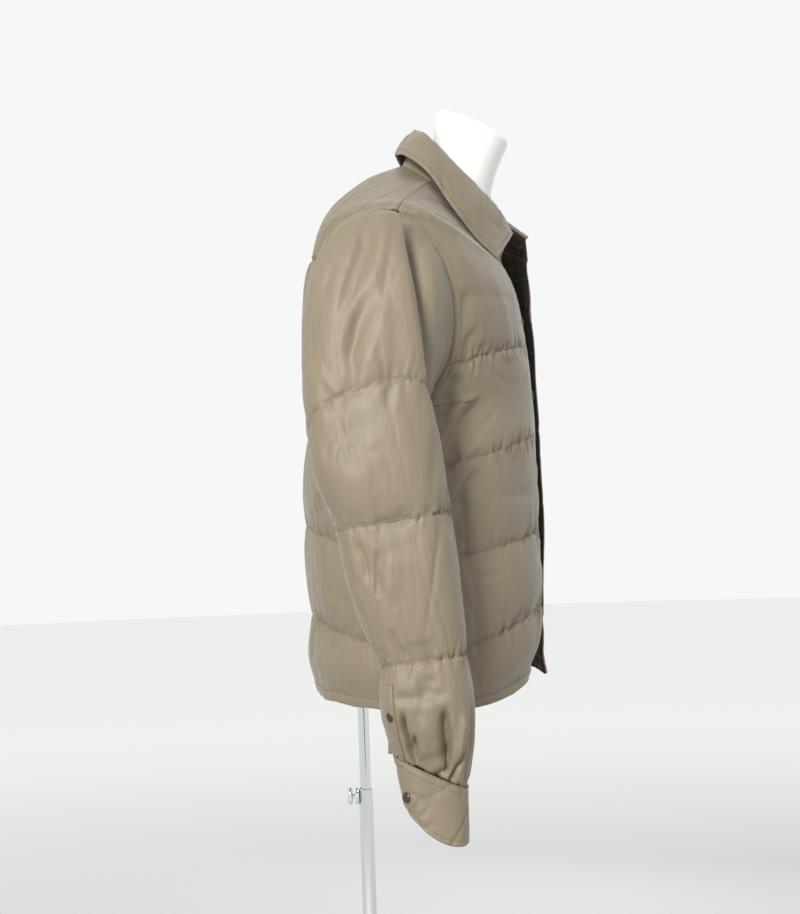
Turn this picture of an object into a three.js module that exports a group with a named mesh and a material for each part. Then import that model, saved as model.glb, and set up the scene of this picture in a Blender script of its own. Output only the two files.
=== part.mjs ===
// A quilted down jacket with a shirt collar, worn by a limbless dress form on a telescopic pole stand.
// Units are millimetres and +Z is up. The pole stands on the origin, the base plate on z = 0.
// The wearer faces -Y, so the wearer's right side is -X. Side -1 is the right half, +1 the left half.
import * as THREE from "three";
import { mergeVertices } from "three/addons/utils/BufferGeometryUtils.js";

// ---------- driving dimensions ----------
const RIGHT = -1;
const LEFT = 1;
const WALL = 2.6;              // shell, filling and inner cloth where a seam presses them flat
const SEAM_GAP = 0.32;         // between two cut pieces at a seam
const SKIN_GAP = 0.35;         // between a piece and what is sewn on it
const BODY_PUFF = 5;           // the most that a filled channel of the body stands out
const CHEST_PUFF = 2;          // soft rise of the unquilted chest and shoulders
const SLEEVE_PUFF = 4;         // the most that a filled channel of a sleeve stands out
const FRONT_EDGE = { [RIGHT]: 22, [LEFT]: 12 };   // free front edge, from the centre line
const PLACKET = 35;            // flat band along the front edge
const PUFF_RAMP = 26;          // width over which the filling swells beside a seam
const EDGE_REACH = 70;         // how far a pull or flare of the front edge runs into the panel
const SLEEVE_COLUMNS = 20;     // points round a sleeve, and so round the armhole

// Body sections from the hem up. back, front and side are heights z with their depth y; half is the half
// width. curve gives the roundness of the plan at the front and back (2 is an ellipse), rise how the height
// runs from side to centre. angle is the place on the armhole, quilt counts the quilting lines, edge is the
// forward (-) or backward (+) pull of the free edge and lift its height, each for the right and left front.
const BODY = [
  { name: "hem", back: [50, 889], front: [-190, 904], side: [-73, 880], half: 186, curve: [2.2, 2.3],
    rise: [3, 1.5], quilt: 0, pull: [3, -15], lift: [20, -9] },
  { name: "hem_stitch", back: [52, 900], front: [-190, 915], side: [-73, 891], half: 188, curve: [2.2, 2.3],
    rise: [3, 1.5], quilt: 0, pull: [5, -13], lift: [18, -9] },
  { name: "dip", back: [52.5, 930], front: [-195, 948], side: [-72, 917], half: 189, curve: [2.25, 2.3],
    rise: [2.2, 1.5], quilt: 0.45, pull: [9, -8], lift: [6, -3] },
  { name: "line_1", back: [50.5, 974], front: [-199, 981], side: [-71, 940], half: 189, curve: [2.3, 2.3],
    rise: [1.5, 1.5], quilt: 1, pull: [4, -5], lift: [0, 0] },
  { name: "line_2", back: [53, 1069], front: [-200, 1058], side: [-70, 1035], half: 189, curve: [2.3, 2.4],
    rise: [1.5, 1.5], quilt: 2, pull: [0, -8], lift: [0, 0] },
  { name: "line_3", back: [49, 1164], front: [-199.5, 1160], side: [-68, 1130], half: 190, curve: [2.3, 2.6],
    rise: [1.5, 1.5], quilt: 3, pull: [0, -7.5], lift: [0, 0] },
  { name: "armpit", back: [46, 1210], front: [-197, 1203], side: [-45, 1189], half: 181, curve: [2.3, 2.8],
    rise: [1.5, 1.5], quilt: 3.45, pull: [0, -8], lift: [0, 0], angle: [180, 180] },
  { name: "line_4", back: [46, 1258], front: [-193, 1255], side: [-42, 1245], half: 200, curve: [2.3, 3.4],
    rise: [1.5, 1.5], quilt: 4, pull: [0, -11], lift: [0, 0], angle: [126, 108] },
  { name: "chest", back: [41, 1315], front: [-188, 1292], side: [-42, 1300], half: 208, curve: [2.2, 3.6],
    rise: [1.5, 1.5], quilt: 4.5, pull: [0, -14], lift: [0, 0], angle: [90, 78] },
  { name: "line_5", back: [36, 1345], front: [-185, 1308], side: [-41, 1345], half: 213, curve: [2, 3.6],
    rise: [1.5, 1.5], quilt: 5, pull: [0, -17], lift: [0, 0], angle: [54, 54] },
  { name: "shoulder", back: [27, 1376], front: [-180, 1324], side: [-57, 1389], half: 213, curve: [1.74, 3.4],
    rise: [1.5, 1.3], quilt: 5.4, pull: [0, -21], lift: [0, 0], angle: [18, -18] },
  { name: "ridge_1", back: [16, 1401], front: [-177, 1332], side: [-66, 1404], half: 178, curve: [1.55, 3],
    rise: [1.35, 1.3], quilt: 5.6, pull: [0, -24], lift: [0, 0] },
  { name: "ridge_2", back: [-7, 1426], front: [-175, 1339], side: [-78, 1416], half: 143, curve: [1.48, 2.6],
    rise: [1.2, 1.3], quilt: 5.75, pull: [0, -26], lift: [0, 0] },
  { name: "ridge_3", back: [-33, 1446], front: [-173.5, 1345], side: [-89, 1428], half: 107, curve: [1.52, 2.2],
    rise: [1.1, 1.3], quilt: 5.9, pull: [0, -28], lift: [0, 0] },
  { name: "neckline", back: [-63, 1458], front: [-172, 1351], side: [-97, 1433], half: 74, curve: [2, 2],
    rise: [1.05, 1.3], quilt: 6, pull: [0, -29], lift: [0, 0] },
];
const bodyRow = (name) => BODY.findIndex((row) => row.name === name);
const [ARMPIT, SHOULDER, NECKLINE] = ["armpit", "shoulder", "neckline"].map(bodyRow);
const LOW_LINES = ["hem_stitch", "line_1", "line_2", "line_3"];   // quilting lines below the armpit
const CHANNEL_STEPS = [0.15, 0.5, 0.85];      // rows between two quilting lines

// The armhole: a leaning oval that the front, back and sleeve share.
const ARMHOLE = { x: 196.5, y: -40, z: 1290, high: 102, deep: 71, skew: 5, lean: 0.16 };

// Sleeve rings from the armhole down to the cuff seam. inner is the underside and outer the outside, as
// [x, z]; front and back are depths y; rise is how much higher the front of the ring lies than its back.
const SLEEVE = [
  { inner: [180.2, 1189.3], outer: [212.8, 1390.7], front: -111, back: 31, rise: 0, curve: 2, quilt: 0 },
  { inner: [187, 1186.5], outer: [235, 1378], front: -102, back: 35, rise: 0, curve: 2.1, quilt: 0.2 },
  { inner: [193, 1181], outer: [256, 1352], front: -94, back: 38, rise: 3, curve: 2.3, quilt: 0.4 },
  { inner: [197, 1172], outer: [273, 1312], front: -86, back: 40, rise: 10, curve: 2.5, quilt: 0.6 },
  { inner: [200, 1161], outer: [286, 1262], front: -81.5, back: 40, rise: 20, curve: 2.7, quilt: 0.8 },
  { inner: [202, 1147], outer: [294, 1209], front: -81, back: 38, rise: 29, curve: 2.8, quilt: 1 },
  { inner: [203, 1125], outer: [298, 1150], front: -86, back: 33, rise: 24, curve: 2.8, quilt: 1.45 },
  { inner: [203, 1101], outer: [299, 1107], front: -93, back: 23, rise: 18, curve: 2.8, quilt: 1.8 },
  { inner: [204, 1078], outer: [297, 1078], front: -97, back: 15, rise: 15, curve: 2.9, quilt: 2 },
  { inner: [205, 1040], outer: [297, 1040], front: -100, back: 6, rise: 13, curve: 3, quilt: 2.3 },
  { inner: [206, 1001], outer: [296, 1001], front: -103, back: -3, rise: 12, curve: 3, quilt: 2.6 },
  { inner: [206, 968], outer: [294, 968], front: -106, back: -13, rise: 10, curve: 3, quilt: 2.82 },
  { inner: [207, 941], outer: [292, 941], front: -108, back: -24, rise: 9, curve: 3, quilt: 3 },
  { inner: [208, 900], outer: [295, 900], front: -111, back: -25, rise: 4, curve: 3, quilt: 3.4 },
  { inner: [209, 868], outer: [290, 868], front: -111, back: -29, rise: -8, curve: 3, quilt: 3.7 },
  { inner: [211, 846], outer: [285, 846], front: -109, back: -32, rise: -22, curve: 2.9, quilt: 3.9 },
  { inner: [213, 831], outer: [282, 831], front: -106, back: -33, rise: -34, curve: 2.8, quilt: 4 },
];
const SLEEVE_STATIONS = [0, 1, 2, 3, 4, 4.6, 5, 5.4, 6, 7, 7.6, 8, 8.4, 9, 10, 11, 11.6, 12, 12.4, 13, 14, 15, 16];

// The cuff: a tube that hangs from the slanted cuff seam to a bottom edge rounded up at the back.
const CUFF = { innerX: 214, outerX: 281, front: -105.5, back: -42, bottom: 757.5, corner: 40, curve: 2.8,
  wall: 3.2, rows: 5 };

// The collar, from the front (0) round to the centre back (5): fold line, leaf edge and leaf bulge.
const COLLAR = [
  { fold: [21, -181, 1378.5], edge: [87.5, -161, 1346.5], bulge: 3 },
  { fold: [46, -167.5, 1399.5], edge: [99, -139, 1368], bulge: 5 },
  { fold: [63, -142.5, 1427], edge: [109, -117, 1397], bulge: 6 },
  { fold: [69, -111.5, 1459], edge: [107, -91, 1437], bulge: 6 },
  { fold: [50, -90.5, 1485.5], edge: [73, -67, 1461], bulge: 5 },
  { fold: [0, -80.5, 1498], edge: [0, -57, 1472], bulge: 5 },
];
const COLLAR_LEAF_WALL = 3.6;
const COLLAR_STAND_WALL = 2.4;
const COLLAR_STEPS = 13;       // columns from the front to the centre back
const COLLAR_DOWN = [0, 0.12, 0.35, 0.7, 1];  // rows of the leaf, from the fold to the edge
const COLLAR_UP = [0, 0.35, 0.7, 1];          // rows of the stand, from the neckline to the fold
const COLLAR_FLARE = -21;      // how far the left end is drawn forward with its front edge
const STAND_HEAD = { inside: 2.6, below: 3.4, footGap: 0.72 };  // from the fold to the stand, and under it
const NECK_CENTRE = -115;      // depth of the middle of the neck
const SHOULDER_WAY = [0.27, 0.96];            // the way out of a shoulder seam, sideways and up

// The form inside: the jacket's own section, drawn in by what lies between them, and its leaning neck.
const FORM = { clear: 6, ridgeClear: 1.4, ridgeReach: 26, bottom: 932, columns: 24, waist: 12,
  waistReach: 160, armholeInset: 5, armholeReach: 110, armholeTurn: 50 };
const FORM_NECK = [
  { back: [-90, 1444], front: [-158, 1374], side: [-108, 1415], half: 59, curve: [2, 2], rise: [1.1, 1.3] },
  { back: [-97, 1474], front: [-161, 1428], side: [-128, 1452], half: 51, curve: [2, 2], rise: [1, 1] },
  { back: [-104, 1516], front: [-181, 1479], side: [-143, 1497], half: 48, curve: [2.1, 2.1], rise: [1, 1] },
  { back: [-106, 1518.5], front: [-179, 1483], side: [-143, 1501], half: 45, curve: [2.1, 2.1], rise: [1, 1] },
];

// The stand: two tubes, a clamp boss with a wing screw, and a round base plate.
const STAND = { plateRadius: 175, plateSides: 40, plateThick: 10, plateEdge: 3, upperRadius: 6,
  lowerRadius: 7.6, bore: 6.6, mouth: 777, upperBottom: 480, hubRadius: 16, hubHigh: 14, fit: 0.3 };
const SCREW = { z: 769, radius: 2.4, bossRadius: 9.5, bossDeep: 3.2, wingHigh: 19, wingThick: 5.4,
  wingWide: 13, stem: 3 };

// Snap fasteners: a cap, the low stud or socket that closes with it, and the heights of the five in front.
const CAP = { radius: 5.2, high: 2.1, sides: 12 };
const STUD = { radius: 4.6, high: 1.1, sides: 12 };
const FRONT_SNAPS = [962, 1042, 1122, 1202, 1282];
const SNAP_INSET = 16;         // from the free edge to a snap's middle

// The dark facing inside the left front, and the plackets beside the sleeve slits, as columns of their panels.
const FACING = { columns: 4, thick: 1 };
const SLEEVE_PLACKET = { rows: [18, 23], columns: [17, 19], thick: 1.2 };

const CLOTH = { color: 0x9d8f7b, roughness: 0.62, metalness: 0 };
const CLOTH_DARK = { color: 0x33291e, roughness: 0.85, metalness: 0 };
const FORM_WHITE = { color: 0xe9e8e4, roughness: 0.5, metalness: 0 };
const CHROME = { color: 0xc4c8c6, roughness: 0.16, metalness: 1 };
const SNAP_METAL = { color: 0x39352f, roughness: 0.42, metalness: 0.8 };

// ---------- small maths ----------
const vec = (x, y, z) => new THREE.Vector3(x, y, z);
const mix = (a, b, t) => a + (b - a) * t;
const clamp01 = (t) => Math.min(1, Math.max(0, t));
const smooth = (t) => clamp01(t) ** 2 * (3 - 2 * clamp01(t));
const radians = (degrees) => degrees * Math.PI / 180;
const power = (base, exponent) => Math.sign(base) * Math.abs(base) ** exponent;

// A curve through (xs, ys) that never overshoots its values.
function steadyCurve(xs, ys) {
  const last = xs.length - 1;
  const slopes = [];
  for (let i = 0; i < last; i++) slopes.push((ys[i + 1] - ys[i]) / (xs[i + 1] - xs[i]));
  const tangents = [slopes[0]];
  for (let i = 1; i < last; i++) {
    const [a, b] = [slopes[i - 1], slopes[i]];
    const [wa, wb] = [2 * (xs[i + 1] - xs[i]) + xs[i] - xs[i - 1], xs[i + 1] - xs[i] + 2 * (xs[i] - xs[i - 1])];
    tangents.push(a * b <= 0 ? 0 : (wa + wb) / (wa / a + wb / b));
  }
  tangents.push(slopes[last - 1]);
  return (x) => {
    let i = 0;
    while (i < last - 1 && x > xs[i + 1]) i++;
    const h = xs[i + 1] - xs[i];
    const t = (x - xs[i]) / h;
    const [t2, t3] = [t * t, t * t * t];
    return (2 * t3 - 3 * t2 + 1) * ys[i] + (t3 - 2 * t2 + t) * h * tangents[i]
      + (3 * t2 - 2 * t3) * ys[i + 1] + (t3 - t2) * h * tangents[i + 1];
  };
}

// Turns a table into a function that gives every column at a place along it.
function tableCurve(rows, columns, places) {
  const curves = {};
  for (const [name, pick] of Object.entries(columns)) curves[name] = steadyCurve(places, rows.map(pick));
  return (place) => Object.fromEntries(Object.entries(curves).map(([name, curve]) => [name, curve(place)]));
}

// ---------- meshes from grids of points ----------
// grid[i][j] are points; the walls join two grids of one size into a closed body. When round is true the
// columns close on themselves.
function wallGeometry(outer, inner, round) {
  const [rows, columns] = [outer.length, outer[0].length];
  const positions = [...outer.flat(), ...inner.flat()].flatMap((p) => [p.x, p.y, p.z]);
  const at = (layer, i, j) => layer * rows * columns + i * columns + (j % columns);
  const faces = [];
  const quad = (a, b, c, d) => faces.push(a, b, c, a, c, d);
  const steps = round ? columns : columns - 1;
  for (let i = 0; i < rows - 1; i++) {
    for (let j = 0; j < steps; j++) {
      quad(at(0, i, j), at(0, i, j + 1), at(0, i + 1, j + 1), at(0, i + 1, j));
      quad(at(1, i, j), at(1, i + 1, j), at(1, i + 1, j + 1), at(1, i, j + 1));
    }
  }
  for (let j = 0; j < steps; j++) {
    quad(at(0, 0, j), at(1, 0, j), at(1, 0, j + 1), at(0, 0, j + 1));
    quad(at(0, rows - 1, j), at(0, rows - 1, j + 1), at(1, rows - 1, j + 1), at(1, rows - 1, j));
  }
  if (!round) {
    for (let i = 0; i < rows - 1; i++) {
      quad(at(0, i, 0), at(0, i + 1, 0), at(1, i + 1, 0), at(1, i, 0));
      const j = columns - 1;
      quad(at(0, i, j), at(1, i, j), at(1, i + 1, j), at(0, i + 1, j));
    }
  }
  return outwardGeometry(positions, faces);
}

// A closed body through rings of points, with a fan over each end.
function ringGeometry(rings) {
  const columns = rings[0].length;
  const positions = rings.flat().flatMap((p) => [p.x, p.y, p.z]);
  const faces = [];
  for (let i = 0; i < rings.length - 1; i++) {
    for (let j = 0; j < columns; j++) {
      const k = (j + 1) % columns;
      const [a, b, c, d] = [i * columns + j, i * columns + k, (i + 1) * columns + k, (i + 1) * columns + j];
      faces.push(a, b, c, a, c, d);
    }
  }
  for (const [ring, flip] of [[0, true], [rings.length - 1, false]]) {
    const centre = rings[ring].reduce((sum, p) => sum.add(p), vec(0, 0, 0)).divideScalar(columns);
    const middle = positions.length / 3;
    positions.push(centre.x, centre.y, centre.z);
    for (let j = 0; j < columns; j++) {
      const [a, b] = [ring * columns + j, ring * columns + (j + 1) % columns];
      faces.push(...(flip ? [b, a, middle] : [a, b, middle]));
    }
  }
  return outwardGeometry(positions, faces);
}

// Indexed geometry whose faces point out, whichever way they were listed.
function outwardGeometry(positions, faces) {
  let volume = 0;
  const point = (i) => vec(positions[3 * i], positions[3 * i + 1], positions[3 * i + 2]);
  for (let f = 0; f < faces.length; f += 3) {
    volume += point(faces[f]).dot(point(faces[f + 1]).cross(point(faces[f + 2])));
  }
  if (volume < 0) {
    for (let f = 0; f < faces.length; f += 3) [faces[f + 1], faces[f + 2]] = [faces[f + 2], faces[f + 1]];
  }
  const geometry = new THREE.BufferGeometry();
  geometry.setAttribute("position", new THREE.Float32BufferAttribute(positions, 3));
  geometry.setIndex(faces);
  geometry.computeVertexNormals();
  return geometry;
}

// The surface directions of an open or round grid.
function gridNormals(grid, round) {
  const [rows, columns] = [grid.length, grid[0].length];
  return grid.map((row, i) => row.map((_, j) => {
    const before = round ? (j + columns - 1) % columns : Math.max(0, j - 1);
    const after = round ? (j + 1) % columns : Math.min(columns - 1, j + 1);
    const along = row[after].clone().sub(row[before]);
    const up = grid[Math.min(rows - 1, i + 1)][j].clone().sub(grid[Math.max(0, i - 1)][j]);
    return along.cross(up).normalize();
  }));
}

const object = new THREE.Group();

function addPiece(name, geometry, finish, place = vec(0, 0, 0)) {
  const mesh = new THREE.Mesh(geometry, new THREE.MeshStandardMaterial(finish));
  mesh.name = name;
  mesh.position.copy(place);
  object.add(mesh);
  return mesh;
}

// ---------- the body's surface ----------
const bodyStations = BODY.reduce((list, row, i) => {
  const height = (r) => (r.back[1] + r.front[1] + r.side[1]) / 3 + (213 - r.half) * (r.half < 190 && i > SHOULDER);
  list.push(i === 0 ? 0 : list[i - 1] + Math.max(8, Math.abs(height(row) - height(BODY[i - 1]))));
  return list;
}, []);

const stationOf = (name) => bodyStations[bodyRow(name)];

const sectionColumns = {
  yBack: (r) => r.back[0], zBack: (r) => r.back[1], yFront: (r) => r.front[0], zFront: (r) => r.front[1],
  ySide: (r) => r.side[0], zSide: (r) => r.side[1], half: (r) => r.half,
  curveFront: (r) => r.curve[0], curveBack: (r) => r.curve[1], riseFront: (r) => r.rise[0],
  riseBack: (r) => r.rise[1],
};
const bodySection = tableCurve(BODY, { ...sectionColumns, quilt: (r) => r.quilt, pullRight: (r) => r.pull[0],
  pullLeft: (r) => r.pull[1], liftRight: (r) => r.lift[0], liftLeft: (r) => r.lift[1] }, bodyStations);

// A point of a section at turn s: 0 is the front centre, 90 the side and 180 the back centre.
function sectionPoint(section, s, side) {
  const front = s <= 90;
  const curve = front ? section.curveFront : section.curveBack;
  const reach = Math.abs(Math.cos(radians(s)));
  const [yEnd, zEnd] = front ? [section.yFront, section.zFront] : [section.yBack, section.zBack];
  return vec(side * section.half * power(Math.sin(radians(s)), 2 / curve),
    section.ySide + (yEnd - section.ySide) * reach ** (2 / curve),
    section.zSide + (zEnd - section.zSide) * reach ** (front ? section.riseFront : section.riseBack));
}

// The pull and lift of a free front edge, fading into the panel.
function drawEdge(point, section, side) {
  const fade = 1 - smooth((Math.abs(point.x) - FRONT_EDGE[side]) / EDGE_REACH);
  point.y += fade * (side === RIGHT ? section.pullRight : section.pullLeft);
  point.z += fade ** 2 * (side === RIGHT ? section.liftRight : section.liftLeft);
  return point;
}

// ---------- the armhole ----------
const armholeUp = (side) => vec(side * ARMHOLE.lean, 0, 1).normalize();
const armholeOut = (side) => vec(side, 0, -ARMHOLE.lean).normalize();

// angle 0 is the top; it grows towards the front, and a negative one towards the back.
function armholePoint(angle, side) {
  const turn = radians(angle);
  return vec(side * ARMHOLE.x, ARMHOLE.y, ARMHOLE.z)
    .addScaledVector(armholeUp(side), ARMHOLE.high * Math.cos(turn))
    .add(vec(0, -ARMHOLE.deep * Math.sin(turn) + ARMHOLE.skew * Math.cos(turn), 0));
}

// The direction through the wall at the armhole seam (through) and across the seam, away from the body.
function armholeFrame(angle, side) {
  const turn = radians(angle);
  const radial = armholeUp(side).multiplyScalar(Math.cos(turn) / ARMHOLE.high);
  radial.y = -Math.sin(turn) / ARMHOLE.deep;
  radial.normalize();
  const share = (1 - Math.cos(turn)) / 2;
  const through = radial.clone().addScaledVector(armholeOut(side), share).normalize();
  const across = armholeOut(side).addScaledVector(radial, -share).normalize();
  return { through, across };
}

// ---------- front and back panels ----------
// Stations of the rows from hem to armpit and from shoulder to neckline; between them a row ends at each
// step round the armhole.
function panelRows(frontPanel) {
  const rows = [];
  const add = (station, angle, corner) => rows.push({ station, angle, corner });
  add(stationOf("hem"));
  add(stationOf(LOW_LINES[0]));
  for (let line = 1; line < LOW_LINES.length; line++) {
    const [low, high] = [stationOf(LOW_LINES[line - 1]), stationOf(LOW_LINES[line])];
    for (const step of CHANNEL_STEPS) add(mix(low, high, step));
    add(high);
  }
  add(mix(stationOf("line_3"), bodyStations[ARMPIT], 0.35));
  const angles = BODY.slice(ARMPIT, SHOULDER + 1).map((row) => -row.angle[frontPanel ? 0 : 1]);
  const stationAt = steadyCurve(angles, bodyStations.slice(ARMPIT, SHOULDER + 1));
  const shoulderAngle = BODY[SHOULDER].angle[frontPanel ? 0 : 1];
  for (let angle = 180; angle >= shoulderAngle; angle -= 360 / SLEEVE_COLUMNS) {
    add(stationAt(-angle), angle, angle === 180 || angle === shoulderAngle);
  }
  for (let row = SHOULDER + 1; row <= NECKLINE; row++) add(bodyStations[row]);
  return rows;
}

const shoulderThrough = (side) => vec(side * SHOULDER_WAY[0], 0, SHOULDER_WAY[1]).normalize();

// Where a row ends: the side seam, the armhole or the shoulder seam, with its wall direction and gap shift.
function rowEnd(section, row, frontPanel, side) {
  const seamShift = vec(0, (frontPanel ? -1 : 1) * SEAM_GAP / 2, 0);
  const seam = sectionPoint(section, 90, side);
  if (row.angle === undefined) {
    const low = row.station < bodyStations[ARMPIT];
    return { point: seam, turn: 90, through: low ? vec(side, 0, 0) : shoulderThrough(side), shift: seamShift };
  }
  const point = armholePoint(frontPanel ? row.angle : -row.angle, side);
  const frame = armholeFrame(frontPanel ? row.angle : -row.angle, side);
  const shift = frame.across.clone().multiplyScalar(-SEAM_GAP / 2);
  if (row.corner) shift.add(seamShift);
  const yEnd = frontPanel ? section.yFront : section.yBack;
  const share = clamp01((point.y - section.ySide) / (yEnd - section.ySide));
  const curve = frontPanel ? section.curveFront : section.curveBack;
  const quarter = row.corner ? 90 : Math.acos(share ** (curve / 2)) * 180 / Math.PI;
  return { point, turn: frontPanel ? quarter : 180 - quarter, through: frame.through, shift };
}

// Half a panel: points from the centre or free edge out to the seam.
function halfPanel(frontPanel, side, columns) {
  const rows = panelRows(frontPanel);
  const ends = [];
  const quilts = [];
  const points = rows.map((row) => {
    const section = bodySection(row.station);
    const end = rowEnd(section, row, frontPanel, side);
    ends.push(end);
    quilts.push(section.quilt);
    const startTurn = frontPanel
      ? Math.asin((FRONT_EDGE[side] / section.half) ** (section.curveFront / 2)) * 180 / Math.PI : 180;
    const miss = end.point.clone().sub(sectionPoint(section, end.turn, side));
    return Array.from({ length: columns + 1 }, (_, j) => {
      const across = j / columns;
      const point = sectionPoint(section, mix(startTurn, end.turn, across), side);
      point.addScaledVector(miss, across ** 2);
      return frontPanel ? drawEdge(point, section, side) : point;
    });
  });
  return { points, ends, quilts };
}

// How full the filling stands between two quilting lines; above the last one it is a soft even layer.
function fullness(quilt, lastLine) {
  if (quilt >= lastLine) {
    return CHEST_PUFF * smooth((quilt - lastLine) / 0.3) * smooth((6 - quilt) / 0.4);
  }
  const share = quilt - Math.floor(quilt + 1e-6);
  return share < 1e-3 ? 0 : BODY_PUFF * Math.sin(Math.PI * share) ** 0.55;
}

// Distances along a row from its first point.
function runLengths(row) {
  let length = 0;
  return row.map((point, j) => (length += j ? point.distanceTo(row[j - 1]) : 0));
}

// The outer and inner skins of a panel whose row ends are given for each end that is a seam.
function panelSkins(points, startEnds, finishEnds, quilts, lastLine, freeBand) {
  const normals = gridNormals(points, false);
  const middle = normals[2][Math.floor(points[0].length / 2)];
  const outward = middle.dot(vec(0, startEnds ? 1 : -1, 0)) > 0 ? 1 : -1;
  const outer = [];
  const inner = [];
  points.forEach((row, i) => {
    const lengths = runLengths(row);
    const total = lengths[lengths.length - 1];
    const outerRow = [];
    const innerRow = [];
    row.forEach((point, j) => {
      const end = j === row.length - 1 ? finishEnds[i] : j === 0 && startEnds ? startEnds[i] : null;
      const through = end ? end.through : normals[i][j].clone().multiplyScalar(outward);
      const base = end ? point.clone().add(end.shift) : point;
      const fromStart = startEnds ? lengths[j] : lengths[j] - freeBand;
      const window = smooth(fromStart / PUFF_RAMP) * smooth((total - lengths[j]) / PUFF_RAMP);
      outerRow.push(base.clone().addScaledVector(through, fullness(quilts[i], lastLine) * window));
      innerRow.push(base.clone().addScaledVector(through, -WALL));
    });
    outer.push(outerRow);
    inner.push(innerRow);
  });
  return { outer, inner };
}

function frontSkins(side) {
  const { points, ends, quilts } = halfPanel(true, side, 10);
  return panelSkins(points, null, ends, quilts, 4, PLACKET);
}

function backSkins() {
  const right = halfPanel(false, RIGHT, 8);
  const left = halfPanel(false, LEFT, 8);
  const points = right.points.map((row, i) => [...row.slice().reverse(), ...left.points[i].slice(1)]);
  return panelSkins(points, right.ends, left.ends, right.quilts, 5, 0);
}

// ---------- sleeves and cuffs ----------
const sleevePlaces = SLEEVE.map((_, i) => i);
const sleeveRing = tableCurve(SLEEVE, {
  innerX: (r) => r.inner[0], innerZ: (r) => r.inner[1], outerX: (r) => r.outer[0], outerZ: (r) => r.outer[1],
  front: (r) => r.front, back: (r) => r.back, rise: (r) => r.rise, curve: (r) => r.curve, quilt: (r) => r.quilt,
}, sleevePlaces);

// A point of a sleeve ring: angle 0 is the outside, 90 the front, 180 the underside and 270 the back.
function ringPoint(ring, angle, side) {
  const [c, s] = [Math.cos(radians(angle)), Math.sin(radians(angle))];
  const [out, forward] = [power(c, 2 / ring.curve), power(s, 2 / ring.curve)];
  return vec(side * (mix(ring.innerX, ring.outerX, 0.5) + out * (ring.outerX - ring.innerX) / 2),
    mix(ring.back, ring.front, 0.5) + forward * (ring.front - ring.back) / 2,
    mix(ring.innerZ, ring.outerZ, 0.5) + out * (ring.outerZ - ring.innerZ) / 2 + forward * ring.rise / 2);
}

const ringAngles = Array.from({ length: SLEEVE_COLUMNS }, (_, k) => 360 * k / SLEEVE_COLUMNS);

function sleeveBase(side) {
  return SLEEVE_STATIONS.map((place) => {
    const ring = sleeveRing(place);
    return ringAngles.map((angle) => (place === 0 ? armholePoint(angle, side) : ringPoint(ring, angle, side)));
  });
}

function sleeveSkins(side) {
  const base = sleeveBase(side);
  const normals = gridNormals(base, true);
  const probe = base[10][0].clone().sub(base[10][SLEEVE_COLUMNS / 2]);
  const outward = Math.sign(normals[10][0].dot(probe));
  const outer = [];
  const inner = [];
  base.forEach((row, i) => {
    const { quilt } = sleeveRing(SLEEVE_STATIONS[i]);
    const share = quilt - Math.floor(quilt + 1e-6);
    const puff = share < 1e-3 ? 0 : SLEEVE_PUFF * Math.sin(Math.PI * share) ** 0.55;
    outer.push([]);
    inner.push([]);
    row.forEach((point, j) => {
      let through = normals[i][j].clone().multiplyScalar(outward);
      const start = point.clone();
      if (i === 0) {
        const frame = armholeFrame(ringAngles[j], side);
        through = frame.through;
        start.addScaledVector(frame.across, SEAM_GAP / 2);
      }
      outer[i].push(start.clone().addScaledVector(through, puff));
      inner[i].push(start.clone().addScaledVector(through, -WALL));
    });
  });
  return { outer, inner };
}

function cuffSkins(side) {
  const top = sleeveRing(SLEEVE.length - 1);
  const outer = [];
  const inner = [];
  for (let i = 0; i <= CUFF.rows; i++) {
    const down = i / CUFF.rows;
    const ring = { ...top, innerX: mix(top.innerX, CUFF.innerX, down), outerX: mix(top.outerX, CUFF.outerX, down),
      front: mix(top.front, CUFF.front, down), back: mix(top.back, CUFF.back, down), curve: CUFF.curve };
    const row = ringAngles.map((angle) => {
      const point = ringPoint(ring, angle, side);
      const backward = clamp01((point.y - CUFF.front) / (CUFF.back - CUFF.front));
      const bottom = CUFF.bottom + CUFF.corner * backward ** 2.2;
      point.z = mix(point.z - SEAM_GAP, bottom, down);
      return point;
    });
    outer.push(row);
    inner.push(row.map((point) => {
      const centre = vec(side * mix(ring.innerX, ring.outerX, 0.5), mix(ring.back, ring.front, 0.5), point.z);
      return point.clone().add(centre.sub(point).normalize().multiplyScalar(CUFF.wall));
    }));
  }
  return { outer, inner };
}

// ---------- collar ----------
const collarPlaces = COLLAR.map((_, i) => i);
const collarCurve = tableCurve(COLLAR, {
  foldX: (r) => r.fold[0], foldY: (r) => r.fold[1], foldZ: (r) => r.fold[2], edgeX: (r) => r.edge[0],
  edgeY: (r) => r.edge[1], edgeZ: (r) => r.edge[2], bulge: (r) => r.bulge,
}, collarPlaces);

const collarFlare = (x, place) => COLLAR_FLARE * (1 - smooth((x - FRONT_EDGE[LEFT]) / EDGE_REACH))
  * (1 - smooth(place - 1.5));

// The leaf's middle line from the fold (0) to the leaf edge (1) at a place round the neck.
function leafPoint(place, down, side) {
  const at = collarCurve(Math.abs(place));
  const fold = vec(at.foldX, at.foldY, at.foldZ);
  const edge = vec(at.edgeX, at.edgeY, at.edgeZ);
  const point = fold.clone().lerp(edge, down);
  const away = vec(point.x * 0.7, point.y - NECK_CENTRE, 45).normalize();
  point.addScaledVector(away, at.bulge * 2.4 * down * (1 - down));
  if (side === LEFT) point.y += collarFlare(point.x, place);
  point.x *= side;
  return point;
}

function acrossCollar(make) {
  const line = [];
  for (let k = 0; k < COLLAR_STEPS; k++) line.push(make(5 * k / COLLAR_STEPS, RIGHT));
  for (let k = COLLAR_STEPS; k >= 0; k--) line.push(make(5 * k / COLLAR_STEPS, LEFT));
  return line;
}

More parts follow.
